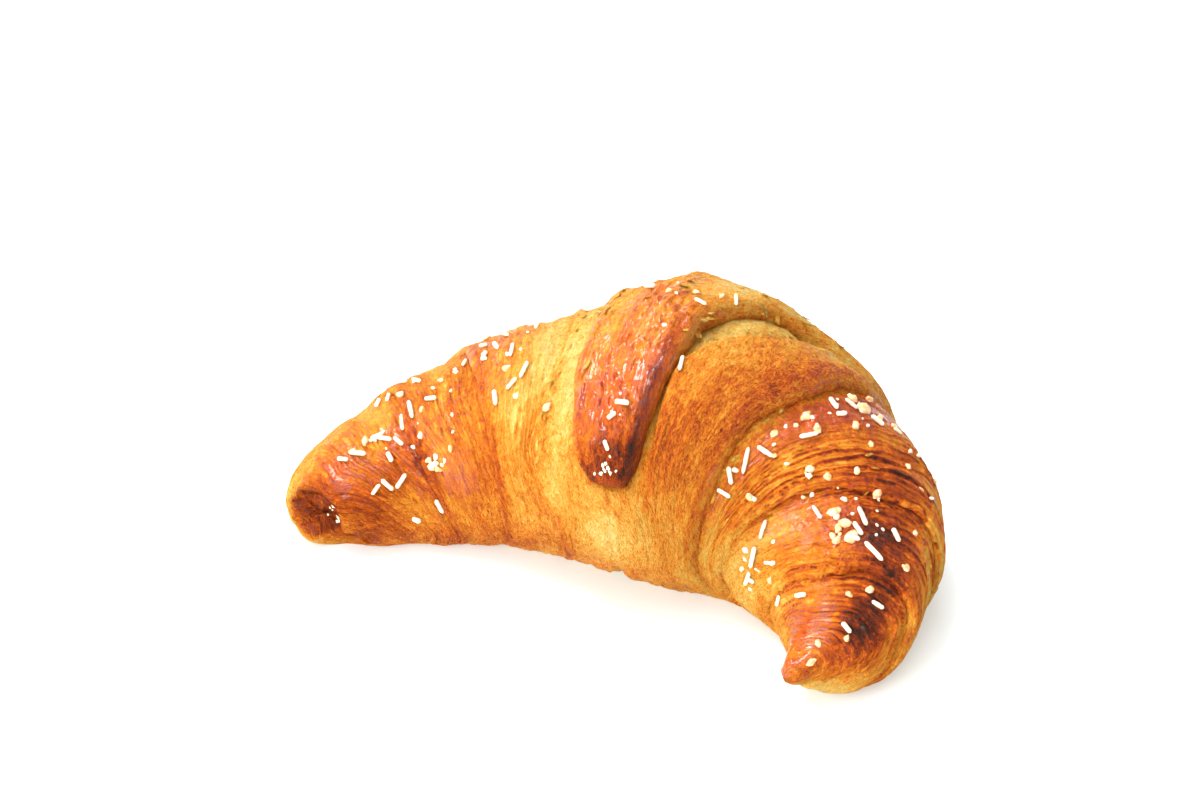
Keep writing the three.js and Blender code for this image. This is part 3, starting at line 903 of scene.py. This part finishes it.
def make_wraps() -> list[Wrap]:
    """The eight wraps, from the left horn's end to the right horn's end."""
    free, tucked, horn = Edge.FREE, Edge.TUCKED, Edge.HORN_END
    left = ("left_third", "left_second", "left_first", "tongue_left")
    right = ("tongue_right", "right_first", "right_second", "right_third")
    return [
        Wrap("left_horn_end", horn, tucked, None, left[0], (), left[:1], 3, skin_rows=220, columns=320, twist=9.0),
        Wrap("left_outer_wrap", free, tucked, left[0], left[1], left[:1], left[1:2], 4, twist=5.0),
        Wrap("left_middle_wrap", free, tucked, left[1], left[2], left[:2], left[2:3], 5),
        Wrap("shoulder_wrap", free, free, left[2], right[1], left[:3] + right[1:], (left[3], right[0]), 6,
             skin_rows=230, pocket=Pocket(),
             brown=patches(
                 (-19, 110, 4, 60, -0.18), (-19, 60, 5, 30, -0.04), (-4, 180, 12, 16, -0.1), (22, 120, 9, 36, 0.1),
                 (14, 140, 6, 20, 0.14), (8, 125, 3, 20, 0.06), (14, 72, 5, 16, -0.06), (30, 90, 3, 60, 0.16),
                 (27, 40, 4, 24, -0.2), (5, 60, 5, 18, 0.08)),
             blisters=patches((22, 110, 9, 40, 0.5))),
        Wrap("tongue", free, free, left[3], right[0], left + right, (), 7, thickness=2.4,
             brown=patches(
                 (-6, 120, 12, 18, 0.12), (-1, 150, 9, 12, 0.4), (4, 128, 1.6, 26, 0.26), (5, 98, 1.6, 10, 0.1),
                 (10, 62, 5, 18, -0.14), (16, 40, 9, 20, -0.26), (-14, 85, 2.5, 24, -0.08)),
             glaze=patches((-6, 120, 12, 20, 1.0), (0, 86, 12, 22, 0.5), (0, 150, 10, 10, 0.1)),
             blisters=patches((-4, 84, 10, 22, 1.0), (-6, 118, 10, 20, 1.2), (-1, 146, 10, 16, 1.2))),
        Wrap("right_middle_wrap", tucked, free, right[1], right[2], right[2:], right[1:2], 8),
        Wrap("right_outer_wrap", tucked, free, right[2], right[3], right[3:], right[2:3], 9),
        Wrap("right_horn_end", tucked, horn, right[3], None, (), right[3:], 10, skin_rows=180, columns=320),
    ]


# ---- sugar ----


class CrustProbe:
    """Finds the crust's surface under a point, for laying sugar on it."""

    def __init__(self, pieces: list[Piece]) -> None:
        """Builds one search tree for each piece of crust."""
        self.trees = [tree_of(piece) for piece in pieces]

    def height(self, point: Vector, outward: Vector, reach: float = 8 * MM) -> float | None:
        """How far outside `point`, along `outward`, the crust's outermost skin is, or None where there is none."""
        start = point + outward * reach
        hits = [tree.ray_cast(start, -outward, 2 * reach)[3] for tree in self.trees]
        distances = [distance for distance in hits if distance is not None]
        return reach - min(distances) if distances else None


@dataclass(frozen=True)
class Resting:
    """A bit's place: its centre, the way out of the crust, and the bit's lengthways direction."""

    centre: Vector
    outward: Vector
    axis: Vector

    def lay(self, points: Grid) -> Grid:
        """Points in the bit's own frame, in millimetres, moved to its place, in metres."""
        basis = np.array([self.axis, self.outward.cross(self.axis), self.outward])
        return points * MM @ basis + np.array(self.centre)


@dataclass
class Bits:
    """Loose bits of one kind on the crust, made as one mesh: where each lies, its size and its thickness."""

    name: str
    seed: int
    rows: int
    columns: int
    places: list[tuple[Resting, float, float]] = field(default_factory=list)

    def add(self, place: Resting, size: float, thickness: float = 1.0) -> None:
        """Adds a bit of this size in millimetres at a place."""
        self.places.append((place, size, thickness))

    def angles(self) -> Grid:
        """The angle of each column, in radians."""
        return np.arange(self.columns) / self.columns * 2 * math.pi


@dataclass
class SugarSticks(Bits):
    """Pressed sugar sticks: each a rough little rod with worn ends."""

    rows: int = 12
    columns: int = 12
    radius: float = 0.48
    sink: float = 0.12

    def seat(self, probe: CrustProbe, place: Resting, length: float, radius: float) -> Resting:
        """Tips a stick to follow the crust under its two ends, and lowers it onto the highest point under it.

        Args:
            probe: finds the crust.
            place: where the stick goes.
            length: in metres.
            radius: in metres.

        Returns:
            The stick's own place.
        """
        outward, axis = place.outward.copy(), place.axis.copy()
        ends = [probe.height(place.centre + axis * (length * 0.42 * side), outward) for side in (-1, 1)]
        if None in ends:
            ends = [0.0, 0.0]
        axis = (axis * length * 0.84 + outward * (ends[1] - ends[0])).normalized()
        outward = (outward - axis * outward.dot(axis)).normalized()
        spots = [probe.height(place.centre + axis * (length * part), outward) for part in (-0.4, -0.2, 0, 0.2, 0.4)]
        heights = [height for height in spots if height is not None] or [0.0]
        return Resting(place.centre + outward * (max(heights) + radius - self.sink * MM), outward, axis)

    def build(self, probe: CrustProbe) -> Piece:
        """Makes all the sticks.

        In its own frame a stick is x = length t / 2, with t from -1 to 1, and radius
        r (1 - |t|^9)^(1/3) times a small lumpy noise, turned round the x axis.
        """
        noise = Noise(self.seed)
        t = np.linspace(-1.0, 1.0, self.rows)
        taper = np.clip(1.0 - np.abs(t) ** 9, 0.05, None) ** (1 / 3)
        ring = np.stack([np.cos(self.angles()), np.sin(self.angles())], -1)
        parts = []
        for index, (place, length, thickness) in enumerate(self.places):
            radius = self.radius * thickness
            x = np.broadcast_to((t * length / 2)[:, None, None], (self.rows, self.columns, 1))
            local = np.concatenate([x, radius * taper[:, None, None] * ring[None]], -1)
            local[..., 1:] *= (1.0 + 0.13 * noise.at(local, 3, 1.3, index * 5.7))[..., None]
            local[..., 0] += 0.16 * noise.at(local, 1, 0.9, index) * np.abs(t[:, None]) ** 4
            tips = np.array([[-length / 2 * 1.01, 0, 0], [length / 2 * 1.01, 0, 0]])
            seated = self.seat(probe, place, length * MM, radius * MM)
            parts.append(seated.lay(np.concatenate([local.reshape(-1, 3), tips])))
        return joined(self.name, parts, self.rows, self.columns)


@dataclass
class SugarGrains(Bits):
    """Broken and half-melted sugar: lumpy little balls of a few dozen faces each."""

    rows: int = 8
    columns: int = 11

    def build(self, probe: CrustProbe) -> Piece:
        """Makes all the grains: spheres flattened towards the crust, and pushed in and out by noise."""
        noise = Noise(self.seed)
        lat = ((np.arange(self.rows) + 0.5) / self.rows * math.pi)[:, None]
        lon = self.angles()
        ball = np.stack(np.broadcast_arrays(-np.cos(lat), np.sin(lat) * np.cos(lon), np.sin(lat) * np.sin(lon)), -1)
        ball = np.concatenate([ball.reshape(-1, 3), [[-1, 0, 0], [1, 0, 0]]])
        parts = []
        for index, (place, size, _) in enumerate(self.places):
            height = probe.height(place.centre, place.outward) or 0.0
            seated = replace(place, centre=place.centre + place.outward * (height + 0.1 * size * MM))
            lumps = 1.0 + 0.42 * noise.at(ball, 3, 1.3, index * 3.1)
            parts.append(seated.lay(ball * lumps[:, None] * np.array([0.56, 0.44, 0.36]) * size))
        return joined(self.name, parts, self.rows, self.columns)


def resting_on_roll(roll: Roll, along: float, around: float, angle: float) -> Resting:
    """A place on the plain stepped roll, with the lengthways direction turned `angle` degrees from the roll's."""
    a = along + np.array([0.0, 1.0, -1.0, 0.0, 0.0])
    r = around + np.array([0.0, 0.0, 0.0, 2.0, -2.0])
    points = roll.place(a, r, roll.stepped_relief(a, r)) * MM
    forward, sideways = unit(points[1] - points[2]), unit(points[3] - points[4])
    outward = unit(np.cross(sideways, forward))
    axis = forward * math.cos(math.radians(angle)) + sideways * math.sin(math.radians(angle))
    axis = unit(axis - outward * (axis @ outward))
    return Resting(Vector(points[0]), Vector(outward), Vector(axis))


def resting_of_node(name: str, crust_tree: BVHTree) -> tuple[Resting, float]:
    """Where a CAD sugar stick lies: its centre, its long axis, and the way out of the crust under it.

    Args:
        name: the CAD node.
        crust_tree: a search tree of the CAD dough.

    Returns:
        The place, and the stick's length in millimetres.
    """
    points = points_of(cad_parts[name])
    middle = points.mean(0)
    centre = Vector(middle * 0.5 + (points.min(0) + points.max(0)) * 0.25)
    axis = np.linalg.svd(points - middle, full_matrices=False)[2][0]
    length = np.ptp(points @ axis) / MM
    outward = (centre - crust_tree.find_nearest(centre)[0]).normalized()
    axis = Vector(axis)
    axis = (axis - outward * axis.dot(outward)).normalized()
    return Resting(centre, outward, axis), length


# ---- flakes ----


@dataclass(frozen=True)
class FlakeRow:
    """A stretch of crust where thin flakes stand up: a line in surface coordinates, and the flakes' sizes."""

    start: tuple[float, float]
    stop: tuple[float, float]
    count: int
    length: float
    width: float
    lift: float
    brown: float
    spread: float = 1.0
    turned: tuple[float, float] = (0.0, 180.0)


@dataclass
class Flakes(Bits):
    """Loose shards and hairs of crust, each a thin curled leaf of a few dozen faces."""

    name: str = "crust_flakes"
    seed: int = 77
    rows: int = 6
    columns: int = 6
    stretches: tuple[FlakeRow, ...] = (
        FlakeRow((-24, 66), (-14, 70), 7, 2.4, 0.8, 0.3, 0.2, 1.6, (-20, 40)),
        FlakeRow((-22, 60), (-25, 150), 16, 2.2, 0.5, 0.25, 0.28, 0.6, (50, 130)),
        FlakeRow((-16, 62), (-15, 120), 18, 2.6, 0.5, 0.4, 0.28, 0.8, (60, 120)),
        FlakeRow((6, 100), (15, 58), 22, 2.2, 0.6, 0.4, 0.3, 0.5, (-30, 60)),
        FlakeRow((15, 58), (26, 32), 14, 2.6, 0.7, 0.4, 0.28, 0.8, (-30, 60)),
        FlakeRow((24.5, 54), (8, 108), 26, 2.0, 0.4, 0.3, 0.26, 0.6),
        FlakeRow((31, 60), (34, 150), 12, 2.0, 0.35, 0.3, 0.3, 0.8, (60, 120)),
        FlakeRow((48, 50), (46, 150), 12, 2.2, 0.3, 0.2, 0.34, 3.0, (80, 100)),
        FlakeRow((-6, 84), (4, 80), 7, 2.2, 0.9, 0.6, 0.34, 3.0),
    )

    def build(self, roll: Roll, probe: CrustProbe) -> Piece:
        """Makes all the flakes.

        With u from 0 to 1 along a flake and p round its flat section, a flake is
        x = L (u - 0.15), y = W sin(pi (0.1 + 0.82 u))^0.7 cos p, z = lift u^1.8 + 0.07 sin p, with some noise.
        """
        rng = np.random.default_rng(self.seed)
        noise = Noise(self.seed)
        u = np.linspace(0.0, 1.0, self.rows)[:, None]
        p = self.angles()
        parts, brown, dough = [], [], []
        for stretch in self.stretches:
            for _ in range(stretch.count):
                part = rng.uniform()
                along, around = (a + (b - a) * part for a, b in zip(stretch.start, stretch.stop))
                along += rng.normal() * stretch.spread
                around += rng.normal() * stretch.spread * 2.0
                place = resting_on_roll(roll, along, around, rng.uniform(*stretch.turned))
                height = probe.height(place.centre, place.outward) or 0.0
                size = rng.uniform(0.6, 1.3)
                x = np.broadcast_to(stretch.length * size * (u - 0.15), (self.rows, self.columns))
                wave = noise.at(np.stack([x * 0.5, x * 0.0 + len(parts), x * 0.0], -1))
                y = stretch.width * size * np.sin(math.pi * (0.1 + 0.82 * u)) ** 0.7 * np.cos(p) + 0.35 * wave
                z = stretch.lift * size * (u**1.8) + 0.07 * np.sin(p) + 0.2 * wave * u
                leaf = np.stack([x, y, z], -1)
                points = np.concatenate([leaf.reshape(-1, 3), leaf[[0, -1]].mean(1)])
                seated = replace(place, centre=place.centre + place.outward * height)
                parts.append(seated.lay(points))
                brown.append(np.full(len(points), stretch.brown + rng.normal() * 0.06))
                dough.append(points + rng.uniform(0, 60, 3))
        piece = joined(self.name, parts, self.rows, self.columns)
        brown = np.concatenate(brown)
        for name, values in (("brown", brown), ("glaze", brown * 0.3), ("torn", np.full(len(brown), 0.4))):
            add_attribute(piece, name, values)
        add_attribute(piece, "dough", np.concatenate(dough))
        LOG.info("%s: %d flakes", self.name, len(parts))
        return piece


# ---- finishes ----


def linear(red: int, green: int, blue: int) -> tuple[float, float, float, float]:
    """A colour given as screen values from 0 to 255, in linear light."""
    channels = [value / 255.0 for value in (red, green, blue)]
    bent = [c / 12.92 if c <= 0.04045 else ((c + 0.055) / 1.055) ** 2.4 for c in channels]
    return (*bent, 1.0)


class Nodes:
    """Short ways to add and join shader nodes."""

    def __init__(self, name: str) -> None:
        """Starts a material with an empty Principled surface."""
        self.material = bpy.data.materials.new(name)
        self.material.use_nodes = True
        self.tree = self.material.node_tree
        self.shader = self.tree.nodes["Principled BSDF"]

    def feed(self, node: bpy.types.Node, inputs: dict[str | int, object]) -> None:
        """Joins a socket, or gives a plain value, to each input named."""
        for name, value in inputs.items():
            if isinstance(value, Socket):
                self.tree.links.new(value, node.inputs[name])
            else:
                node.inputs[name].default_value = value

    def add(self, kind: str, inputs: dict[str | int, object], **settings: object) -> bpy.types.Node:
        """Adds a node, sets its properties and feeds its inputs."""
        node = self.tree.nodes.new("ShaderNode" + kind)
        for key, value in settings.items():
            setattr(node, key, value)
        self.feed(node, inputs)
        return node

    def math(self, operation: str, a: object, b: object = 0.0, clamp: bool = False) -> Socket:
        """A sum, product or other operation on two sockets or numbers."""
        return self.add("Math", {0: a, 1: b}, operation=operation, use_clamp=clamp).outputs[0]

    def attribute(self, name: str, output: str = "Fac") -> Socket:
        """A vertex attribute."""
        return self.add("Attribute", {}, attribute_name=name).outputs[output]

    def noise(self, place: Socket, stretch: Triple, scale: float, detail: float, roughness: float = 0.55,
              distortion: float = 0.0, turned: float = 0.0) -> Socket:
        """Noise between 0 and 1 on coordinates turned about two axes, then multiplied by `stretch`."""
        if turned:
            place = self.add("Mapping", {"Vector": place, "Rotation": (0.0, turned, turned)}).outputs[0]
        place = self.add("Mapping", {"Vector": place, "Scale": stretch}).outputs[0]
        inputs = {"Vector": place, "Scale": scale, "Detail": detail, "Roughness": roughness, "Distortion": distortion}
        return self.add("TexNoise", inputs).outputs["Fac"]

    def spread(self, value: Socket, low: float, high: float, to_low: float, to_high: float) -> Socket:
        """Stretches a value from one range to another, kept inside the second."""
        inputs = {"Value": value, "From Min": low, "From Max": high, "To Min": to_low, "To Max": to_high}
        return self.add("MapRange", inputs).outputs["Result"]

    def ramp(self, value: Socket, stops: tuple[tuple[float, tuple[float, ...]], ...]) -> Socket:
        """A colour for each value, blended between stops."""
        node = self.add("ValToRGB", {"Fac": value})
        elements = node.color_ramp.elements
        while len(elements) < len(stops):
            elements.new(1.0)
        for element, (position, colour) in zip(elements, stops):
            element.position, element.color = position, colour
        return node.outputs["Color"]

    def product(self, a: Socket, b: Socket) -> Socket:
        """One colour multiplied by another."""
        return self.add("Mix", {"Factor": 1.0, 6: a, 7: b}, data_type="RGBA", blend_type="MULTIPLY").outputs[2]

    def bumps(self, *layers: tuple[Socket, float, float]) -> Socket:
        """A normal bumped by each layer in turn: its height, its strength, and its distance in metres."""
        inputs = {}
        for height, strength, distance in layers:
            inputs |= {"Height": height, "Strength": strength, "Distance": distance}
            inputs["Normal"] = self.add("Bump", inputs).outputs["Normal"]
        return inputs["Normal"]


@dataclass(frozen=True)
class CrustFinish:
    """Baked laminated dough: colours from pale to burnt, fibres that run round the roll, and a patchy glaze."""

    stops: tuple[tuple[float, tuple[int, int, int]], ...] = (
        (0.0, (255, 226, 140)), (0.12, (255, 210, 108)), (0.24, (255, 188, 74)), (0.36, (252, 160, 44)),
        (0.48, (236, 124, 22)), (0.6, (206, 90, 10)), (0.72, (166, 64, 8)), (0.86, (106, 38, 8)),
        (1.0, (50, 20, 8)),
    )
    glazed_tint: Triple = (1.0, 0.76, 0.5)
    rough_dry: float = 0.6
    rough_glazed: float = 0.3
    fibre: float = 0.2
    crumb: float = 0.3
    mottle: float = 0.1
    hair: float = 0.17

    def hairs(self, nodes: Nodes, dough: Socket, turned: float, scale: float) -> Socket:
        """Thin wandering hairs of torn crumb: 1 along the lines where stretched noise crosses its middle."""
        cloud = nodes.noise(dough, (1.0, 0.35, 0.35), scale, 3.0, 0.6, 1.4, turned)
        off = nodes.math("ABSOLUTE", nodes.math("SUBTRACT", cloud, 0.5))
        return nodes.spread(off, 0.0, 0.045, 1.0, 0.0)

    def material(self) -> bpy.types.Material:
        """Builds the material from the wraps' attributes."""
        nodes = Nodes("baked_crust")
        dough = nodes.attribute("dough", "Vector")
        torn = nodes.attribute("torn")
        fibres = nodes.noise(dough, (1.0, 0.11, 0.11), 1.3, 6.0, 0.65, 0.6)
        crumb = nodes.noise(dough, (1.0, 0.75, 0.75), 0.9, 8.0, 0.74, 2.2, 0.3)
        mottle = nodes.noise(dough, (1.0, 0.9, 0.9), 0.55, 5.0, 0.62, 0.6)
        grain = nodes.noise(dough, (1.0, 0.7, 0.7), 2.6, 5.0, 0.7, 0.5)
        hairs = nodes.math("MAXIMUM", self.hairs(nodes, dough, 0.45, 0.8), self.hairs(nodes, dough, -0.5, 1.1))
        hairs = nodes.math("MULTIPLY", hairs, torn)
        glaze = nodes.math("ADD", nodes.attribute("glaze"), nodes.spread(mottle, 0.35, 0.65, -0.3, 0.3), clamp=True)
        whole = nodes.math("SUBTRACT", 1.0, torn)
        dry = nodes.spread(glaze, 0.2, 0.9, 1.0, 0.15)
        fibres = nodes.math("MULTIPLY", nodes.spread(fibres, 0.3, 0.7, -1.0, 1.0), whole)
        fibres = nodes.math("MULTIPLY", fibres, dry)
        crumb_there = nodes.spread(torn, 0.0, 1.0, 0.25, 1.0)
        crumb = nodes.math("MULTIPLY", nodes.spread(crumb, 0.3, 0.7, -1.0, 1.0), crumb_there)

        brown = nodes.attribute("brown")
        for part, amount in ((fibres, -self.fibre), (crumb, -self.crumb), (hairs, -self.hair)):
            brown = nodes.math("ADD", brown, nodes.math("MULTIPLY", part, amount))
        brown = nodes.math("ADD", brown, nodes.spread(mottle, 0.3, 0.7, -self.mottle, self.mottle))
        brown = nodes.math("ADD", brown, nodes.spread(grain, 0.3, 0.7, 0.08, -0.08), clamp=True)
        colour = nodes.ramp(brown, tuple((at, linear(*rgb)) for at, rgb in self.stops))
        tint = nodes.ramp(glaze, ((0.2, (1.0, 1.0, 1.0, 1.0)), (0.9, (*self.glazed_tint, 1.0))))
        syrup = nodes.noise(dough, (0.6, 1.0, 1.0), 0.5, 3.0, 0.6, 1.2)
        normal = nodes.bumps(
            (nodes.math("MULTIPLY", syrup, glaze), 1.0, 0.004), (fibres, 0.9, 0.0005), (crumb, 1.0, 0.0007),
            (mottle, 0.7, 0.0008), (hairs, 0.7, 0.00035), (grain, 0.5, 0.0003))
        nodes.feed(nodes.shader, {
            "Base Color": nodes.product(colour, tint),
            "Roughness": nodes.spread(glaze, 0.0, 1.0, self.rough_dry, self.rough_glazed),
            "Coat Weight": nodes.spread(glaze, 0.3, 0.9, 0.0, 0.85),
            "Coat Roughness": 0.08,
            "IOR": 1.46,
            "Specular IOR Level": 0.22,
            "Subsurface Weight": 0.14,
            "Subsurface Radius": (1.0, 0.4, 0.12),
            "Subsurface Scale": 0.002,
            "Normal": normal,
        })
        return nodes.material


@dataclass(frozen=True)
class SugarFinish:
    """Pressed or half-melted sugar: grainy, pale and slightly see-through."""

    name: str
    colours: tuple[tuple[int, int, int], tuple[int, int, int]]
    roughness: float
    inside: float

    def material(self) -> bpy.types.Material:
        """Builds the material on Object coordinates."""
        nodes = Nodes(self.name)
        place = nodes.add("TexCoord", {}).outputs["Object"]
        grain = nodes.noise(place, (1.0, 1.0, 1.0), 2600.0, 3.0, 0.6)
        cloud = nodes.spread(nodes.noise(place, (1.0, 1.0, 1.0), 700.0, 3.0), 0.3, 0.7, 0.0, 1.0)
        nodes.feed(nodes.shader, {
            "Base Color": nodes.ramp(cloud, tuple((float(at), linear(*rgb)) for at, rgb in enumerate(self.colours))),
            "Roughness": nodes.spread(grain, 0.3, 0.7, self.roughness - 0.1, self.roughness + 0.15),
            "Subsurface Weight": self.inside,
            "Subsurface Radius": (1.0, 0.9, 0.7),
            "Subsurface Scale": 0.0008,
            "Normal": nodes.bumps((grain, 0.5, 0.00012)),
        })
        return nodes.material


# ---- assembly ----


@dataclass
class Dough:
    """All the wraps, dressed in one finish. They stand for the CAD model's single roll."""

    roll: Roll
    crust: CrustField
    finish: CrustFinish
    pieces: list[Piece] = field(default_factory=list)

    def build(self) -> None:
        """Makes and dresses each wrap, and puts it on the body."""
        material = self.finish.material()
        for wrap in make_wraps():
            piece = wrap.build(self.roll, self.crust)
            piece.data.materials.append(material)
            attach(piece, "root")
            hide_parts("croissant")
            self.pieces.append(piece)
            LOG.info("%s: %d faces", piece.name, len(piece.data.polygons))

    def add_flakes(self, probe: CrustProbe) -> None:
        """Makes the loose flakes in the wraps' own finish."""
        piece = Flakes().build(self.roll, probe)
        piece.data.materials.append(self.pieces[0].data.materials[0])
        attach(piece, "root")


@dataclass(frozen=True)
class Cluster:
    """Where the baker's hand dropped sugar: a place on the roll, its spread, and how many of each kind."""

    along: float
    around: float
    half_length: float
    half_width: float
    sticks: int
    grains: int
    melted: int


@dataclass
class Sugar:
    """All the sugar: the CAD model's sticks at their places, and more sticks and grains scattered round them."""

    roll: Roll
    probe: CrustProbe
    clusters: tuple[Cluster, ...] = (
        Cluster(-70, 108, 10, 22, 1, 5, 2), Cluster(-52, 120, 9, 26, 0, 3, 4), Cluster(-38, 84, 7, 24, 2, 4, 2),
        Cluster(-50, 70, 12, 20, 3, 4, 2), Cluster(-2, 78, 9, 10, 1, 3, 1), Cluster(38, 110, 3, 26, 0, 4, 3),
        Cluster(60, 160, 6, 22, 2, 4, 1), Cluster(48, 90, 5, 40, 0, 3, 2), Cluster(44, 20, 12, 14, 3, 3, 3),
        Cluster(-60, 30, 16, 16, 4, 3, 3), Cluster(-59.5, 143, 2.5, 5, 0, 8, 3), Cluster(58, 95, 6, 16, 0, 4, 6),
    )
    lumps: tuple[Triple, ...] = (
        (36.6, 90, 2.4), (40.1, 89, 1.9), (41.1, 69, 2.0), (45, 65, 1.4), (35.4, 61, 2.4), (34.9, 46, 2.0),
        (37.6, 58, 3.2), (39.1, 49, 1.8), (40.2, 41, 1.9), (48.3, 46, 1.4), (53, 68, 2.0), (47.7, 101, 2.0),
        (50.5, 94, 1.8), (45.7, 134, 1.6), (57, 96, 2.0), (59.9, 89, 2.2), (62.7, 85, 2.6), (65.1, 43, 1.7),
        (58.1, 39, 1.6), (4.2, 80, 2.3), (-1.8, 81, 1.6), (-24, 128, 1.8), (-34, 118, 1.9), (80, 52, 1.6),
        (83, 76, 1.6), (84.6, 58, 1.8), (71, 62, 1.8), (73.5, 76, 1.5),
    )
    crumbs: tuple[tuple[float, float, float, float, int], ...] = (
        (-1.5, 151, 2.2, 3, 12), (-2.5, 132, 1.6, 4, 4), (-90.4, 150, 0.6, 40, 12), (58, 75, 4, 16, 10),
        (37, 60, 3, 16, 8), (-66, 112, 6, 16, 6), (60, 163, 3, 8, 6),
    )
    seed: int = 41

    def near(self, rng: np.random.Generator, along: float, around: float, half_length: float,
             half_width: float) -> Resting:
        """A random place near one on the roll, turned at random."""
        along, around = along + rng.normal() * half_length * 0.6, around + rng.normal() * half_width * 0.6
        return resting_on_roll(self.roll, along, around, rng.uniform(0, 180))

    def build(self) -> None:
        """Makes the four sugar pieces."""
        sticks, strays = SugarSticks("sugar_sticks", 5), SugarSticks("stray_sugar_sticks", 6, radius=0.45)
        grains, melted = SugarGrains("sugar_grains", 9), SugarGrains("melted_sugar", 12)
        nodes = sorted(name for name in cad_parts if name.startswith("sugar_stick"))
        crust_tree = tree_of(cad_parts["croissant"])
        rng = np.random.default_rng(self.seed)
        for name in nodes:
            place, length = resting_of_node(name, crust_tree)
            sticks.add(place, length, rng.uniform(0.88, 1.16))
        for cluster in self.clusters:
            for kind, count, sizes in (
                (strays, cluster.sticks, (1.6, 4.0)), (grains, cluster.grains, (0.7, 1.4)),
                (melted, cluster.melted, (1.0, 2.0)),
            ):
                for _ in range(count):
                    place = self.near(rng, cluster.along, cluster.around, cluster.half_length, cluster.half_width)
                    size = rng.uniform(*sizes)
                    kind.add(place, size, rng.uniform(0.8, 1.1) if kind is strays else 1.0)
        for along, around, size in self.lumps:
            melted.add(resting_on_roll(self.roll, along, around, rng.uniform(0, 180)), size)
        for along, around, half_length, half_width, count in self.crumbs:
            for _ in range(count):
                grains.add(self.near(rng, along, around, half_length, half_width), rng.uniform(0.4, 0.95))
        white = SugarFinish("white_sugar", ((226, 206, 176), (248, 236, 214)), 0.4, 0.35).material()
        beige = SugarFinish("melted_sugar", ((224, 152, 88), (252, 220, 180)), 0.3, 0.6).material()
        for kind, material in ((sticks, white), (strays, white), (grains, white), (melted, beige)):
            piece = kind.build(self.probe)
            piece.data.materials.append(material)
            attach(piece, "root")
            if kind is sticks:
                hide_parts(*nodes)
            LOG.info("%s: %d grains", piece.name, len(kind.places))


# ---- studio ----


@dataclass(frozen=True)
class Studio:
    """A plain pale floor, soft light from the upper left, and the camera."""

    azimuth: float = 19.0
    elevation: float = 35.8
    distance: float = 0.808
    target: Triple = (-0.0263, 0.0484, 0.0)
    focal: float = 100.0

    LAMPS = (
        ("key", (-0.42, 0.1, 0.85), 0.45, 10.5, (1.0, 1.0, 1.0)),
        ("back", (-0.5, 0.8, 0.65), 0.45, 4.5, (1.0, 1.0, 1.0)),
        ("sky", (-0.05, -0.15, 1.05), 1.3, 9.0, (1.0, 1.0, 1.0)),
        ("fill", (-0.3, -1.0, 0.35), 0.9, 20.5, (1.0, 0.95, 0.88)),
    )
    LIT = Vector((0.0, 0.0, 0.02))

    @staticmethod
    def stand(name: str, data: bpy.types.ID, place: Vector, towards: Vector) -> Piece:
        """Puts a camera or a lamp at a place, facing along a direction."""
        item = bpy.data.objects.new(name, data)
        item.location = place
        item.rotation_euler = towards.to_track_quat("-Z", "Y").to_euler()
        bpy.context.scene.collection.objects.link(item)
        return item

    def camera(self) -> None:
        """Stands the camera off from its target, level and looking down."""
        a, e = math.radians(self.azimuth), math.radians(self.elevation)
        back = Vector((math.sin(a) * math.cos(e), -math.cos(a) * math.cos(e), math.sin(e)))
        data = bpy.data.cameras.new("camera")
        data.lens, data.sensor_width = self.focal, 36.0
        data.clip_start, data.clip_end = 0.01, 20.0
        place = Vector(self.target) + back * self.distance
        bpy.context.scene.camera = self.stand("camera", data, place, -back)

    def lamp(self, name: str, place: Triple, size: float, watts: float, colour: Triple) -> None:
        """A square area lamp that faces the middle of the croissant."""
        data = bpy.data.lights.new(name, "AREA")
        data.shape, data.size, data.energy, data.color = "SQUARE", size, watts, colour
        self.stand(name, data, Vector(place), self.LIT - Vector(place))

    def floor(self) -> None:
        """A wide pale floor."""
        reach = 3.0
        corners = np.array([(-reach, -reach, 0), (reach, -reach, 0), (reach, reach, 0), (-reach, reach, 0)])
        floor = new_mesh("floor", corners, np.array([[0, 1, 2, 3]]), smooth_shading=False)
        nodes = Nodes("pale_floor")
        nodes.feed(nodes.shader, {
            "Base Color": (0.66, 0.72, 0.74, 1.0),
            "Roughness": 0.7,
            "Emission Color": (1.0, 1.0, 1.0, 1.0),
            "Emission Strength": 0.3,
        })
        floor.data.materials.append(nodes.material)

    def build(self) -> None:
        """Sets up the camera, the floor and the light."""
        self.camera()
        self.floor()
        world = bpy.data.worlds.new("studio")
        world.use_nodes = True
        background = world.node_tree.nodes["Background"]
        background.inputs["Color"].default_value = (1.0, 0.99, 0.97, 1.0)
        background.inputs["Strength"].default_value = 0.5
        bpy.context.scene.world = world
        for lamp in self.LAMPS:
            self.lamp(*lamp)
        view = bpy.context.scene.view_settings
        view.view_transform, view.look, view.exposure = "Standard", "None", 0.0


def main() -> None:
    """Builds the croissant piece by piece, then the studio."""
    logging.basicConfig(level=logging.INFO, format="%(name)s: %(message)s")
    Studio().build()
    roll = Roll()
    dough = Dough(roll, CrustField(), CrustFinish())
    dough.build()
    probe = CrustProbe(dough.pieces)
    dough.add_flakes(probe)
    Sugar(roll, probe).build()


if __name__ == "__main__":
    main()
